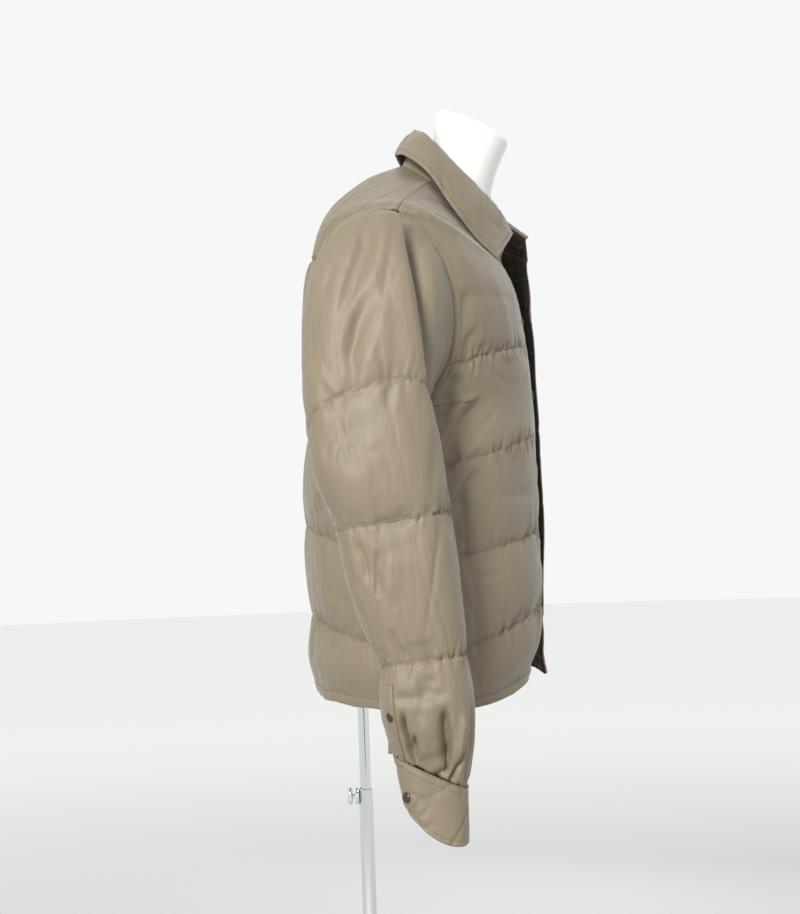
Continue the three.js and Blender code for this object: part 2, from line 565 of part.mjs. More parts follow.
function leafSkins() {
  const middle = COLLAR_DOWN.map((down) => acrossCollar((place, side) => leafPoint(place, down, side)));
  const normals = gridNormals(middle, false);
  const outward = Math.sign(normals[2][COLLAR_STEPS].dot(vec(0, 1, 1)));
  const shift = (amount) => middle.map((row, i) => row.map((point, j) =>
    point.clone().addScaledVector(normals[i][j], outward * amount)));
  return { outer: shift(COLLAR_LEAF_WALL / 2), inner: shift(-COLLAR_LEAF_WALL / 2) };
}

// The stand rises from the neckline to just under the fold, inside the leaf.
function standSkins() {
  const neckline = bodySection(bodyStations[NECKLINE]);
  const foot = acrossCollar((place, side) => {
    const startTurn = Math.asin(FRONT_EDGE[side] / neckline.half) * 180 / Math.PI;
    const turn = mix(startTurn, 180, place / 5);
    const point = sectionPoint(neckline, turn, side);
    return turn > 90 ? point : drawEdge(point, neckline, side);
  });
  const head = acrossCollar((place, side) => leafPoint(place, 0, side));
  const line = COLLAR_UP.map((up) => foot.map((low, j) => {
    const high = head[j].clone();
    const inward = vec(-high.x, NECK_CENTRE - high.y, 0).normalize();
    high.addScaledVector(inward, STAND_HEAD.inside).add(vec(0, 0, -STAND_HEAD.below));
    return low.clone().add(vec(0, 0, STAND_HEAD.footGap)).lerp(high, up);
  }));
  const normals = gridNormals(line, false);
  const outward = Math.sign(normals[1][COLLAR_STEPS].dot(vec(0, 1, 0)));
  const shift = (amount) => line.map((row, i) => row.map((point, j) =>
    point.clone().addScaledVector(normals[i][j], outward * amount)));
  return { outer: shift(0), inner: shift(-COLLAR_STAND_WALL) };
}

// ---------- dress form ----------
function formGeometry() {
  const angles = Array.from({ length: FORM.columns }, (_, k) => 360 * k / FORM.columns);
  const ring = (at) => angles.map((angle) => {
    const side = angle <= 180 ? LEFT : RIGHT;
    return sectionPoint(at, angle <= 180 ? angle : 360 - angle, side);
  });
  const stations = [];
  for (let row = bodyRow("dip"); row < SHOULDER; row++) {
    stations.push(bodyStations[row], mix(bodyStations[row], bodyStations[row + 1], 0.5));
  }
  stations.push(...bodyStations.slice(SHOULDER, NECKLINE + 1));
  const skin = stations.map((station) => ring(bodySection(station)));
  const normals = gridNormals(skin, true);
  const outward = Math.sign(normals[4][0].dot(vec(0, -1, 0)));
  const rings = skin.map((row, i) => row.map((point, j) => {
    const high = stations[i] >= bodyStations[SHOULDER] - 1;
    const fromRidge = Math.min(Math.abs(angles[j] - 90), Math.abs(angles[j] - 270));
    const onRidge = smooth((stations[i] - bodyStations[SHOULDER]) / 20 + 0.4);
    const ridge = high ? onRidge * (1 - smooth(fromRidge / FORM.ridgeReach)) : 0;
    const midHeight = smooth(1 - Math.abs(stations[i] - stationOf("line_1")) / FORM.waistReach);
    const armhole = smooth(1 - Math.abs(stations[i] - stationOf("chest")) / FORM.armholeReach)
      * (1 - smooth(fromRidge / FORM.armholeTurn));
    const clear = mix(FORM.clear + FORM.waist * midHeight + FORM.armholeInset * armhole, FORM.ridgeClear, ridge);
    return point.clone().addScaledVector(normals[i][j], -outward * (WALL + clear));
  }));
  rings.pop();
  rings[0].forEach((point) => { point.z = FORM.bottom; });
  const neck = tableCurve(FORM_NECK, sectionColumns, [0, 1, 2, 3]);
  for (const place of [0, 1, 2, 3]) rings.push(ring(neck(place)));
  return ringGeometry(rings);
}

// ---------- facing and sleeve plackets ----------
// A strip laid on a skin: some rows and columns of its points, moved out along the way that it faces.
function laidStrip(grid, rows, columns, facing, thick) {
  const part = grid.slice(...rows).map((row) => row.slice(...columns));
  const normals = gridNormals(part, false);
  const way = Math.sign(normals[0][0].dot(facing));
  const shift = (amount) => part.map((row, i) => row.map((point, j) =>
    point.clone().addScaledVector(normals[i][j], way * amount)));
  return { outer: shift(SKIN_GAP + thick), inner: shift(SKIN_GAP) };
}

// ---------- stand ----------
const lathe = (profile, sides) => mergeVertices(stripToPosition(
  new THREE.LatheGeometry(profile.map(([r, z]) => new THREE.Vector2(r, z)), sides).rotateX(Math.PI / 2)), 1e-3);

function stripToPosition(geometry) {
  geometry.deleteAttribute("normal");
  geometry.deleteAttribute("uv");
  return geometry;
}

function basePlate() {
  const { plateRadius: r, plateThick: t, plateEdge: e } = STAND;
  return lathe([[0, 0], [r, 0], [r, t - e], [r - e, t], [0, t]], STAND.plateSides);
}

function lowerTube() {
  const { lowerRadius: r, bore, mouth, plateThick, hubRadius, hubHigh, fit } = STAND;
  const foot = plateThick + fit;
  return lathe([[0, foot], [hubRadius, foot], [hubRadius, foot + 4], [r + 2, foot + hubHigh],
    [r, foot + hubHigh + 2], [r, mouth], [bore, mouth], [bore, foot + hubHigh], [0, foot + hubHigh]], 24);
}

function upperTube() {
  const { upperRadius: r, upperBottom } = STAND;
  const top = FORM.bottom - STAND.fit;
  return lathe([[0, upperBottom], [r - 1, upperBottom], [r, upperBottom + 1], [r, top], [0, top]], 24);
}

// The boss is a round pad on the back of the lower tube; the screw's stem leaves it towards +Y.
function clampBoss() {
  const start = STAND.lowerRadius + STAND.fit;
  const { bossRadius: r, bossDeep: d } = SCREW;
  return lathe([[0, 0], [r - 1, 0], [r, 1], [r, d - 0.6], [r - 0.6, d], [0, d]], 20)
    .rotateX(-Math.PI / 2).translate(0, start, 0);
}

function wingScrew() {
  const start = STAND.lowerRadius + 2 * STAND.fit + SCREW.bossDeep;
  const { radius, stem, wingHigh, wingWide, wingThick } = SCREW;
  const oval = (y, grow) => Array.from({ length: 20 }, (_, k) => {
    const turn = 2 * Math.PI * k / 20;
    return vec(grow * wingWide / 2 * Math.cos(turn), y, grow * wingHigh / 2 * Math.sin(turn));
  });
  const round = (y) => Array.from({ length: 20 }, (_, k) => {
    const turn = 2 * Math.PI * k / 20;
    return vec(radius * Math.cos(turn), y, radius * Math.sin(turn));
  });
  const wing = start + stem;
  return ringGeometry([round(start), round(wing), oval(wing + 0.4, 0.86), oval(wing + 1.6, 1),
    oval(wing + wingThick - 1.6, 1), oval(wing + wingThick, 0.82)]);
}

// ---------- snaps ----------
function snapShape({ radius: r, high: h, sides }) {
  return lathe([[0, 0], [r, 0], [r, h * 0.35], [r * 0.72, h], [0, h]], sides);
}

// A snap on a skin: seat is the surface point and normal its outward direction.
function addSnap(name, kind, { seat, normal }) {
  const mesh = addPiece(name, snapShape(kind), SNAP_METAL, seat.clone().addScaledVector(normal, SKIN_GAP));
  mesh.quaternion.setFromUnitVectors(vec(0, 0, 1), normal);
}

// A point of a grid cell, share down from row i and along from column j, and the direction out of it.
function cellSeat(grid, i, j, down, along, facing) {
  const [a, b] = [grid[i][j], grid[i][j + 1]];
  const [c, d] = [grid[i + 1][j], grid[i + 1][j + 1]];
  const seat = a.clone().lerp(b, along).lerp(c.clone().lerp(d, along), down);
  const normal = b.clone().sub(c).cross(d.clone().sub(a)).normalize();
  return { seat, normal: normal.multiplyScalar(Math.sign(normal.dot(facing))) };
}

// The seat of a snap on a front's placket at a height.
function placketSeat(grid, height) {
  const row = grid.findIndex((points, i) => points[0].z <= height && grid[i + 1][0].z > height);
  const [low, high] = [grid[row][0], grid[row + 1][0]];
  const along = SNAP_INSET / low.distanceTo(grid[row][1]);
  return cellSeat(grid, row, 0, (height - low.z) / (high.z - low.z), along, vec(0, -1, 0));
}

// ---------- assembly ----------
function addWall(name, { outer, inner }, finish, round = false) {
  addPiece(name, wallGeometry(outer, inner, round), finish);
}

const fronts = { [RIGHT]: frontSkins(RIGHT), [LEFT]: frontSkins(LEFT) };
addWall("back", backSkins(), CLOTH);
addWall("right_front", fronts[RIGHT], CLOTH);
addWall("left_front", fronts[LEFT], CLOTH);
for (const [label, side] of [["right", RIGHT], ["left", LEFT]]) {
  addWall(`${label}_sleeve`, sleeveSkins(side), CLOTH, true);
  addWall(`${label}_cuff`, cuffSkins(side), CLOTH, true);
}
const stand = standSkins();
addWall("collar_stand", stand, CLOTH);
addWall("collar_leaf", leafSkins(), CLOTH);
addWall("left_facing", laidStrip(fronts[LEFT].inner, [0], [0, FACING.columns], vec(0, 1, 0), FACING.thick),
  CLOTH_DARK);
for (const [label, side] of [["right", RIGHT], ["left", LEFT]]) {
  const { rows, columns, thick } = SLEEVE_PLACKET;
  const placket = laidStrip(sleeveSkins(side).outer, rows, columns, vec(side, 1, 0), thick);
  addWall(`${label}_sleeve_placket`, placket, CLOTH);
  addSnap(`${label}_sleeve_snap`, CAP, cellSeat(placket.outer, 1, 0, 0.35, 0.5, vec(side, 1, 0)));
  addSnap(`${label}_cuff_snap`, CAP, cellSeat(cuffSkins(side).outer, 3, 17, 0.4, 0.5, vec(side, 1, 0)));
  FRONT_SNAPS.forEach((height, k) => {
    addSnap(`${label}_front_snap_${k + 1}`, side === LEFT ? CAP : STUD, placketSeat(fronts[side].outer, height));
  });
}
addSnap("left_stand_snap", STUD, cellSeat(stand.inner, 1, 2 * COLLAR_STEPS - 1, 0.2, 0.3, vec(0, 1, 0)));
addPiece("dress_form", formGeometry(), FORM_WHITE);
addPiece("base_plate", basePlate(), CHROME);
addPiece("lower_tube", lowerTube(), CHROME);
addPiece("upper_tube", upperTube(), CHROME);
addPiece("clamp_boss", clampBoss(), CHROME, vec(0, 0, SCREW.z));
addPiece("wing_screw", wingScrew(), CHROME, vec(0, 0, SCREW.z));

export default object;
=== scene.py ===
import math

import bpy
import numpy as np
from mathutils import Matrix, Vector


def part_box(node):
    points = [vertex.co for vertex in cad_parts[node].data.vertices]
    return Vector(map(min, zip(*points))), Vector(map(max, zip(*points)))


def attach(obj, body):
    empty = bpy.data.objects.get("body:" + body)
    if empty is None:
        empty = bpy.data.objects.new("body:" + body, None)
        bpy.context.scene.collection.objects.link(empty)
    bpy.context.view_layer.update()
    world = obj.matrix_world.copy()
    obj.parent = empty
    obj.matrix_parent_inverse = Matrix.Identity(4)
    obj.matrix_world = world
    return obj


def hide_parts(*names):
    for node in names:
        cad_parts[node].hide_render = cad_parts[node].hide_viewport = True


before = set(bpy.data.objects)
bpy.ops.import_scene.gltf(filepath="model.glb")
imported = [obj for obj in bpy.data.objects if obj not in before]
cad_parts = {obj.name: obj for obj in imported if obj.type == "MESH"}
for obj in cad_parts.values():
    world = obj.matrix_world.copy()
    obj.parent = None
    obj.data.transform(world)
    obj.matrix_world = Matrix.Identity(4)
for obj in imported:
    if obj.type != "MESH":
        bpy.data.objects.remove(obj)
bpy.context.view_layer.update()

# A quilted down jacket on a dress form, in millimetres until a mesh is made. +Z is up, the pole stands on the
# origin and the wearer faces -Y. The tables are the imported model's own: the same surfaces, drawn finer, with
# the quilting's puckers, the creases, the rounded edges and the sewing on them.

MM = 0.001
RIGHT, LEFT = -1, 1
SIDES = {"right": RIGHT, "left": LEFT}
WALL = 2.6
SEAM_GAP = 0.32
SEAM_VEE = 2.6             # how much wider a seam opens at the outer face
SKIN_GAP = 0.35
BODY_PUFF = 5
CHEST_PUFF = 2
SLEEVE_PUFF = 4
FRONT_EDGE = {RIGHT: 22, LEFT: 12}
PLACKET = 35
PUFF_RAMP = 26
EDGE_REACH = 70
PITCH = 2.7                # distance between the points of a fine surface
RIM = [0, 0.25, 0.7, 1.3, 2.2, 3.6]   # closer points beside a free edge, which is rounded
SEAM_TURN = 16             # within this a wall turns from its own direction to its seam's
SEAM_STITCHES = (2.2, 8.2)  # two rows of stitches beside an armhole seam
STITCH = {"pitch": 3.3, "length": 2.5, "radius": 0.3, "sink": 0.05}

# ---------- the surfaces' tables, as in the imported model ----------
BODY_COLUMNS = ("name", "back", "front", "side", "half", "curve", "rise", "quilt", "pull", "lift", "angle")
BODY = [dict(zip(BODY_COLUMNS, row)) for row in (
    ("hem", (50, 889), (-190, 904), (-73, 880), 186, (2.2, 2.3), (3, 1.5), 0, (3, -15), (20, -9), None),
    ("hem_stitch", (52, 900), (-190, 915), (-73, 891), 188, (2.2, 2.3), (3, 1.5), 0, (5, -13), (18, -9), None),
    ("dip", (52.5, 930), (-195, 948), (-72, 917), 189, (2.25, 2.3), (2.2, 1.5), 0.45, (9, -8), (6, -3), None),
    ("line_1", (50.5, 974), (-199, 981), (-71, 940), 189, (2.3, 2.3), (1.5, 1.5), 1, (4, -5), (0, 0), None),
    ("line_2", (53, 1069), (-200, 1058), (-70, 1035), 189, (2.3, 2.4), (1.5, 1.5), 2, (0, -8), (0, 0), None),
    ("line_3", (49, 1164), (-199.5, 1160), (-68, 1130), 190, (2.3, 2.6), (1.5, 1.5), 3, (0, -7.5), (0, 0),
     None),
    ("armpit", (46, 1210), (-197, 1203), (-45, 1189), 181, (2.3, 2.8), (1.5, 1.5), 3.45, (0, -8), (0, 0),
     (180, 180)),
    ("line_4", (46, 1258), (-193, 1255), (-42, 1245), 200, (2.3, 3.4), (1.5, 1.5), 4, (0, -11), (0, 0),
     (126, 108)),
    ("chest", (41, 1315), (-188, 1292), (-42, 1300), 208, (2.2, 3.6), (1.5, 1.5), 4.5, (0, -14), (0, 0),
     (90, 78)),
    ("line_5", (36, 1345), (-185, 1308), (-41, 1345), 213, (2, 3.6), (1.5, 1.5), 5, (0, -17), (0, 0),
     (54, 54)),
    ("shoulder", (27, 1376), (-180, 1324), (-57, 1389), 213, (1.74, 3.4), (1.5, 1.3), 5.4, (0, -21), (0, 0),
     (18, -18)),
    ("ridge_1", (16, 1401), (-177, 1332), (-66, 1404), 178, (1.55, 3), (1.35, 1.3), 5.6, (0, -24), (0, 0),
     None),
    ("ridge_2", (-7, 1426), (-175, 1339), (-78, 1416), 143, (1.48, 2.6), (1.2, 1.3), 5.75, (0, -26), (0, 0),
     None),
    ("ridge_3", (-33, 1446), (-173.5, 1345), (-89, 1428), 107, (1.52, 2.2), (1.1, 1.3), 5.9, (0, -28), (0, 0),
     None),
    ("neckline", (-63, 1458), (-172, 1351), (-97, 1433), 74, (2, 2), (1.05, 1.3), 6, (0, -29), (0, 0), None),
)]
ARMHOLE = {"x": 196.5, "y": -40, "z": 1290, "high": 102, "deep": 71, "skew": 5, "lean": 0.16}
SLEEVE_COLUMNS = ("inner", "outer", "front", "back", "rise", "curve", "quilt")
SLEEVE = [dict(zip(SLEEVE_COLUMNS, row)) for row in (
    ((180.2, 1189.3), (212.8, 1390.7), -111, 31, 0, 2, 0),
    ((187, 1186.5), (235, 1378), -102, 35, 0, 2.1, 0.2),
    ((193, 1181), (256, 1352), -94, 38, 3, 2.3, 0.4),
    ((197, 1172), (273, 1312), -86, 40, 10, 2.5, 0.6),
    ((200, 1161), (286, 1262), -81.5, 40, 20, 2.7, 0.8),
    ((202, 1147), (294, 1209), -81, 38, 29, 2.8, 1),
    ((203, 1125), (298, 1150), -86, 33, 24, 2.8, 1.45),
    ((203, 1101), (299, 1107), -93, 23, 18, 2.8, 1.8),
    ((204, 1078), (297, 1078), -97, 15, 15, 2.9, 2),
    ((205, 1040), (297, 1040), -100, 6, 13, 3, 2.3),
    ((206, 1001), (296, 1001), -103, -3, 12, 3, 2.6),
    ((206, 968), (294, 968), -106, -13, 10, 3, 2.82),
    ((207, 941), (292, 941), -108, -24, 9, 3, 3),
    ((208, 900), (295, 900), -111, -25, 4, 3, 3.4),
    ((209, 868), (290, 868), -111, -29, -8, 3, 3.7),
    ((211, 846), (285, 846), -109, -32, -22, 2.9, 3.9),
    ((213, 831), (282, 831), -106, -33, -34, 2.8, 4),
)]
CUFF = {"innerX": 214, "outerX": 281, "front": -105.5, "back": -42, "bottom": 757.5, "corner": 40,
        "curve": 2.8, "wall": 3.2, "high": 62.0}
COLLAR_COLUMNS = ("fold", "edge", "bulge")
COLLAR = [dict(zip(COLLAR_COLUMNS, row)) for row in (
    ((21, -181, 1378.5), (87.5, -161, 1346.5), 3),
    ((46, -167.5, 1399.5), (99, -139, 1368), 5),
    ((63, -142.5, 1427), (109, -117, 1397), 6),
    ((69, -111.5, 1459), (107, -91, 1437), 6),
    ((50, -90.5, 1485.5), (73, -67, 1461), 5),
    ((0, -80.5, 1498), (0, -57, 1472), 5),
)]
COLLAR_LEAF_WALL = 3.6
COLLAR_STAND_WALL = 2.4
LEAF_STITCH = 6            # from the leaf's edge to its stitches
COLLAR_FLARE = -21
STAND_HEAD = {"inside": 2.15, "below": 1.0, "footGap": -0.9, "height": 38}
NECK_CENTRE = -115
SHOULDER_WAY = (0.27, 0, 0.96)
FORM = {"clear": 6, "ridgeClear": 1.4, "ridgeReach": 26, "bottom": 932, "waist": 12, "waistReach": 160,
        "armholeInset": 5, "armholeReach": 110, "armholeTurn": 50}
FORM_NECK = [dict(zip(("back", "front", "side", "half", "curve", "rise"), row)) for row in (
    ((-90, 1444), (-158, 1374), (-108, 1415), 59, (2, 2), (1.1, 1.3)),
    ((-97, 1474), (-161, 1428), (-128, 1452), 51, (2, 2), (1, 1)),
    ((-104, 1516), (-181, 1479), (-143, 1497), 48, (2.1, 2.1), (1, 1)),
    ((-106, 1518.5), (-179, 1483), (-143, 1501), 45, (2.1, 2.1), (1, 1)),
)]
STAND = {"plateRadius": 175, "plateThick": 10, "plateEdge": 3, "upperRadius": 6, "lowerRadius": 7.6,
         "bore": 6.6, "mouth": 777, "upperBottom": 480, "hubRadius": 16, "hubHigh": 14, "fit": 0.3}
SCREW = {"z": 769, "radius": 2.4, "bossRadius": 9.5, "bossDeep": 3.2, "wingHigh": 19, "wingThick": 5.4,
         "wingWide": 13, "stem": 3}


# ---------- small maths ----------
def mix(a, b, t):
    return a + (b - a) * t


def smooth(t):
    t = np.clip(t, 0, 1)
    return t * t * (3 - 2 * t)


def power(base, exponent):
    return np.sign(base) * np.abs(base) ** exponent


def bell(distance, width):
    return np.exp(-(distance / width) ** 2)


def cusp(distance, width):
    return np.exp(-np.abs(distance) / width)


def unit(v):
    return v / np.maximum(np.linalg.norm(v, axis=-1, keepdims=True), 1e-9)


def steady_curve(xs, ys):
    """A curve through (xs, ys) that never overshoots its values."""
    xs, ys = np.asarray(xs, float), np.asarray(ys, float)
    h = np.diff(xs)
    slopes = np.diff(ys) / h
    tangents = np.zeros_like(ys)
    tangents[0], tangents[-1] = slopes[0], slopes[-1]
    for i in range(1, len(xs) - 1):
        a, b = slopes[i - 1], slopes[i]
        wa, wb = 2 * h[i] + h[i - 1], h[i] + 2 * h[i - 1]
        tangents[i] = 0 if a * b <= 0 else (wa + wb) / (wa / a + wb / b)

    def at(x):
        i = np.clip(np.searchsorted(xs, x, side="left") - 1, 0, len(h) - 1)
        t = (x - xs[i]) / h[i]
        t2, t3 = t * t, t * t * t
        return ((2 * t3 - 3 * t2 + 1) * ys[i] + (t3 - 2 * t2 + t) * h[i] * tangents[i]
                + (3 * t2 - 2 * t3) * ys[i + 1] + (t3 - t2) * h[i] * tangents[i + 1])
    return at


def entry(row, keys):
    for key in keys:
        row = row[key]
    return row


def table_curve(rows, columns, places):
    """A function that gives every column of a table at places along it."""
    curves = {name: steady_curve(places, [entry(row, keys) for row in rows]) for name, keys in columns.items()}

    def at(place):
        return {name: curve(np.asarray(place, float)) for name, curve in curves.items()}
    return at


def normals_of(grid, closed=False):
    """Unit normals of a grid of points, closed on itself along its columns or open."""
    if closed:
        along = np.roll(grid, -1, 1) - np.roll(grid, 1, 1)
    else:
        along = np.gradient(grid, axis=1)
    return unit(np.cross(along, np.gradient(grid, axis=0)))


def facing(normals, row, column, way):
    """The normals, all turned round if the one at (row, column) looks against way."""
    return -normals if normals[row, column] @ np.array(way, float) < 0 else normals


def run_lengths(grid):
    """Distances along each row from its first point."""
    steps = np.linalg.norm(np.diff(grid, axis=1), axis=2)
    return np.concatenate([np.zeros((len(grid), 1)), np.cumsum(steps, 1)], 1)


def drop_lengths(grid):
    """Distances down each column from its first point."""
    return run_lengths(grid.transpose(1, 0, 2)).T


def noise(x, y, seed, octaves=1):
    """Smooth seeded noise of two coordinates, from -1 to 1, its cells one unit wide."""
    total, reach = 0.0, 0.0
    for octave in range(octaves):
        table = np.random.default_rng(seed + 101 * octave).uniform(-1, 1, (64, 64))
        scale, weight = 2.0 ** octave, 0.5 ** octave
        px, py = x * scale, y * scale
        ix, iy = np.floor(px).astype(int), np.floor(py).astype(int)
        fx, fy = smooth(px - ix), smooth(py - iy)
        near, far = (mix(table[ix % 64, row % 64], table[(ix + 1) % 64, row % 64], fx) for row in (iy, iy + 1))
        total = total + weight * mix(near, far, fy)
        reach += weight
    return total / reach


def spans(length, pitch=PITCH, start_rim=False, end_rim=False):
    """Places from 0 to 1 along a length, one pitch apart, with the rim's closer points at a free edge."""
    low = RIM if start_rim else [0]
    high = [length - r for r in reversed(RIM)] if end_rim else [length]
    count = max(2, round((high[0] - low[-1]) / pitch))
    middle = np.linspace(low[-1], high[0], count + 1)
    return np.array([*low[:-1], *middle, *high[1:]]) / length


# ---------- the body's surface ----------
def body_row(name):
    return next(i for i, row in enumerate(BODY) if row["name"] == name)


ARMPIT, SHOULDER, NECKLINE = body_row("armpit"), body_row("shoulder"), body_row("neckline")
LEAST_STEP = 8             # between two rows of the body


def body_stations():
    """How far up the body each row lies; on the shoulder the way in counts too."""
    heights = []
    for i, row in enumerate(BODY):
        way_in = BODY[SHOULDER]["half"] - row["half"] if i > SHOULDER else 0
        heights.append((row["back"][1] + row["front"][1] + row["side"][1]) / 3 + way_in)
    steps = [max(LEAST_STEP, abs(b - a)) for a, b in zip(heights[:-1], heights[1:])]
    return np.concatenate([[0], np.cumsum(steps)])


STATIONS = body_stations()


def station_of(name):
    return STATIONS[body_row(name)]


# Each column's own name, and where its numbers stand in a row.
SECTION_COLUMNS = {
    "yBack": ("back", 0), "zBack": ("back", 1), "yFront": ("front", 0), "zFront": ("front", 1),
    "ySide": ("side", 0), "zSide": ("side", 1), "half": ("half",), "curveFront": ("curve", 0),
    "curveBack": ("curve", 1), "riseFront": ("rise", 0), "riseBack": ("rise", 1),
}
body_section = table_curve(BODY, {
    **SECTION_COLUMNS, "quilt": ("quilt",), "pullRight": ("pull", 0), "pullLeft": ("pull", 1),
    "liftRight": ("lift", 0), "liftLeft": ("lift", 1),
}, STATIONS)


def section_point(section, turn, side):
    """Points of sections at a turn: 0 is the front centre, 90 the side and 180 the back centre."""
    front = turn <= 90
    curve = np.where(front, section["curveFront"], section["curveBack"])
    rise = np.where(front, section["riseFront"], section["riseBack"])
    reach = np.abs(np.cos(np.radians(turn)))
    y_end = np.where(front, section["yFront"], section["yBack"])
    z_end = np.where(front, section["zFront"], section["zBack"])
    x = side * section["half"] * power(np.sin(np.radians(turn)), 2 / curve)
    y = section["ySide"] + (y_end - section["ySide"]) * reach ** (2 / curve)
    z = section["zSide"] + (z_end - section["zSide"]) * reach ** rise
    return np.stack(np.broadcast_arrays(x, y, z), -1)


def draw_edge(points, section, side):
    """The pull and lift of a free front edge, fading into the panel."""
    hand = "Right" if side == RIGHT else "Left"
    fade = 1 - smooth((np.abs(points[..., 0]) - FRONT_EDGE[side]) / EDGE_REACH)
    points[..., 1] += fade * section["pull" + hand]
    points[..., 2] += fade ** 2 * section["lift" + hand]
    return points


# ---------- the armhole ----------
def armhole_point(angle, side):
    """angle 0 is the top; it grows towards the front."""
    turn = np.radians(angle)
    up = unit(np.array([side * ARMHOLE["lean"], 0, 1.0]))
    sway = -ARMHOLE["deep"] * np.sin(turn) + ARMHOLE["skew"] * np.cos(turn)
    return (np.array([side * ARMHOLE["x"], ARMHOLE["y"], ARMHOLE["z"]])
            + up * (ARMHOLE["high"] * np.cos(turn))[..., None] + np.array([0, 1.0, 0]) * sway[..., None])


def armhole_frame(angle, side):
    """The directions through the wall at the armhole seam, and across the seam away from the body."""
    turn = np.radians(angle)
    up = unit(np.array([side * ARMHOLE["lean"], 0, 1.0]))
    out = unit(np.array([side, 0, -ARMHOLE["lean"]]))
    radial = unit(up * (np.cos(turn) / ARMHOLE["high"])[..., None]
                  + np.array([0, 1.0, 0]) * (-np.sin(turn) / ARMHOLE["deep"])[..., None])
    share = ((1 - np.cos(turn)) / 2)[..., None]
    return unit(radial + out * share), unit(out - radial * share)


# ---------- creases ----------
# A crease is a path in a view, with the height that it stands out (or sinks, when negative) and its width to
# the left and right of the path. On the body the path is in side view (y, z) or in front and back view (x, z),
# and only cloth that faces the view takes it. On a sleeve it is (turn, distance down from the armhole seam).
VIEWS = {"right": (1, (-1, 0, 0)), "left": (1, (1, 0, 0)), "front": (0, (0, -1, 0)), "back": (0, (0, 1, 0))}


def beside_path(a, z, path):
    """Signed distance to a path of points, and the share of its length at the nearest point."""
    path = np.asarray(path, float)
    lengths = np.linalg.norm(np.diff(path, axis=0), axis=1)
    total = lengths.sum()
    best = np.full(a.shape, 1e9)
    share = np.zeros(a.shape)
    run = 0.0
    for start, step, length in zip(path[:-1], np.diff(path, axis=0), lengths):
        da, dz = a - start[0], z - start[1]
        t = np.clip((da * step[0] + dz * step[1]) / length ** 2, 0, 1)
        distance = np.hypot(da - t * step[0], dz - t * step[1])
        sign = np.sign(step[0] * dz - step[1] * da)
        nearer = distance < np.abs(best)
        best = np.where(nearer, distance * np.where(sign == 0, 1, sign), best)
        share = np.where(nearer, (run + t * length) / total, share)
        run += length
    return best, share


def fold(a, z, path, tall, left, right, ends=(0.3, 0.3)):
    """The height of one crease at points of a surface that is laid flat."""
    distance, share = beside_path(a, z, path)
    taper = smooth(share / ends[0]) * smooth((1 - share) / ends[1])
    return tall * taper * bell(distance, np.where(distance > 0, left, right))


def creased(points, normals, creases):
    """How far the creases of the body move each point out."""
    height = np.zeros(points.shape[:2])
    for view, path, *size in creases:
        axis, viewer = VIEWS[view]
        seen = smooth((normals @ np.array(viewer, float)) * 2.2 + 0.1)
        height += seen * fold(points[..., axis], points[..., 2], path, *size)
    return height


def valleys(wave, width):
    """Narrow valleys, one unit deep, where a wave passes through zero."""
    return -bell(wave, width)


def puckers(run, across, seed, spacing, reach, height):
    """Short gathers beside a line of stitching, from the distance along the line and the signed one across it.

    The two sides of the line have their own gathers, each as long and as strong as it happens to be.
    """
    bank = np.sign(across) * 3.0 + 0 * run
    slant = 0.45 * across * noise(run / 37.0, bank, seed + 3)
    wave = noise((run + slant) / spacing, bank, seed, 2)
    far = reach * (0.55 + 0.9 * np.abs(noise(run / (1.6 * spacing), bank, seed + 9)))
    strength = 0.75 + 0.7 * noise(run / 47.0, 0 * run, seed + 7)
    return height * cusp(across, far) * strength * (1.1 * valleys(wave, 0.2) + 0.35 + 0.5 * wave)


# ---------- meshes ----------
def corner_points(mesh):
    """The point that each face corner of a mesh lies on."""
    points = np.zeros(len(mesh.loops), np.int32)
    mesh.loops.foreach_get("vertex_index", points)
    return points


def stand_in(node):
    """An object takes a plain node's place: the node is hidden."""
    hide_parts(node)


def new_object(name, vertices, faces, materials, indices=None, uvs=None, body="mast"):
    """A smooth mesh object from points in millimetres, riding on a body."""
    mesh = bpy.data.meshes.new(name)
    faces = faces if isinstance(faces, list) else faces.tolist()
    mesh.from_pydata((np.asarray(vertices) * MM).tolist(), [], faces)
    for material in materials:
        mesh.materials.append(material)
    if indices is not None:
        mesh.polygons.foreach_set("material_index", np.asarray(indices, np.int32))
    mesh.polygons.foreach_set("use_smooth", np.ones(len(mesh.polygons), bool))
    if uvs is not None:
        layer = mesh.uv_layers.new(name="UVMap")
        layer.data.foreach_set("uv", (np.asarray(uvs) * MM)[corner_points(mesh)].astype(np.float32).ravel())
    mesh.update()
    obj = bpy.data.objects.new(name, mesh)
    bpy.context.scene.collection.objects.link(obj)
    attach(obj, body)
    return obj


def band_faces(a, b, c, d, flip):
    """Quads from the numbers of their four corners, the other way round when flipped."""
    quads = np.stack([a, b, c, d], -1).reshape(-1, 4)
    return quads[:, ::-1] if flip else quads


def grid_faces(rows, columns, closed, start=0, flip=False):
    i, j = np.meshgrid(np.arange(rows - 1), np.arange(columns if closed else columns - 1), indexing="ij")
    k = (j + 1) % columns
    low, high = i * columns + start, (i + 1) * columns + start
    return band_faces(low + j, low + k, high + k, high + j, flip)


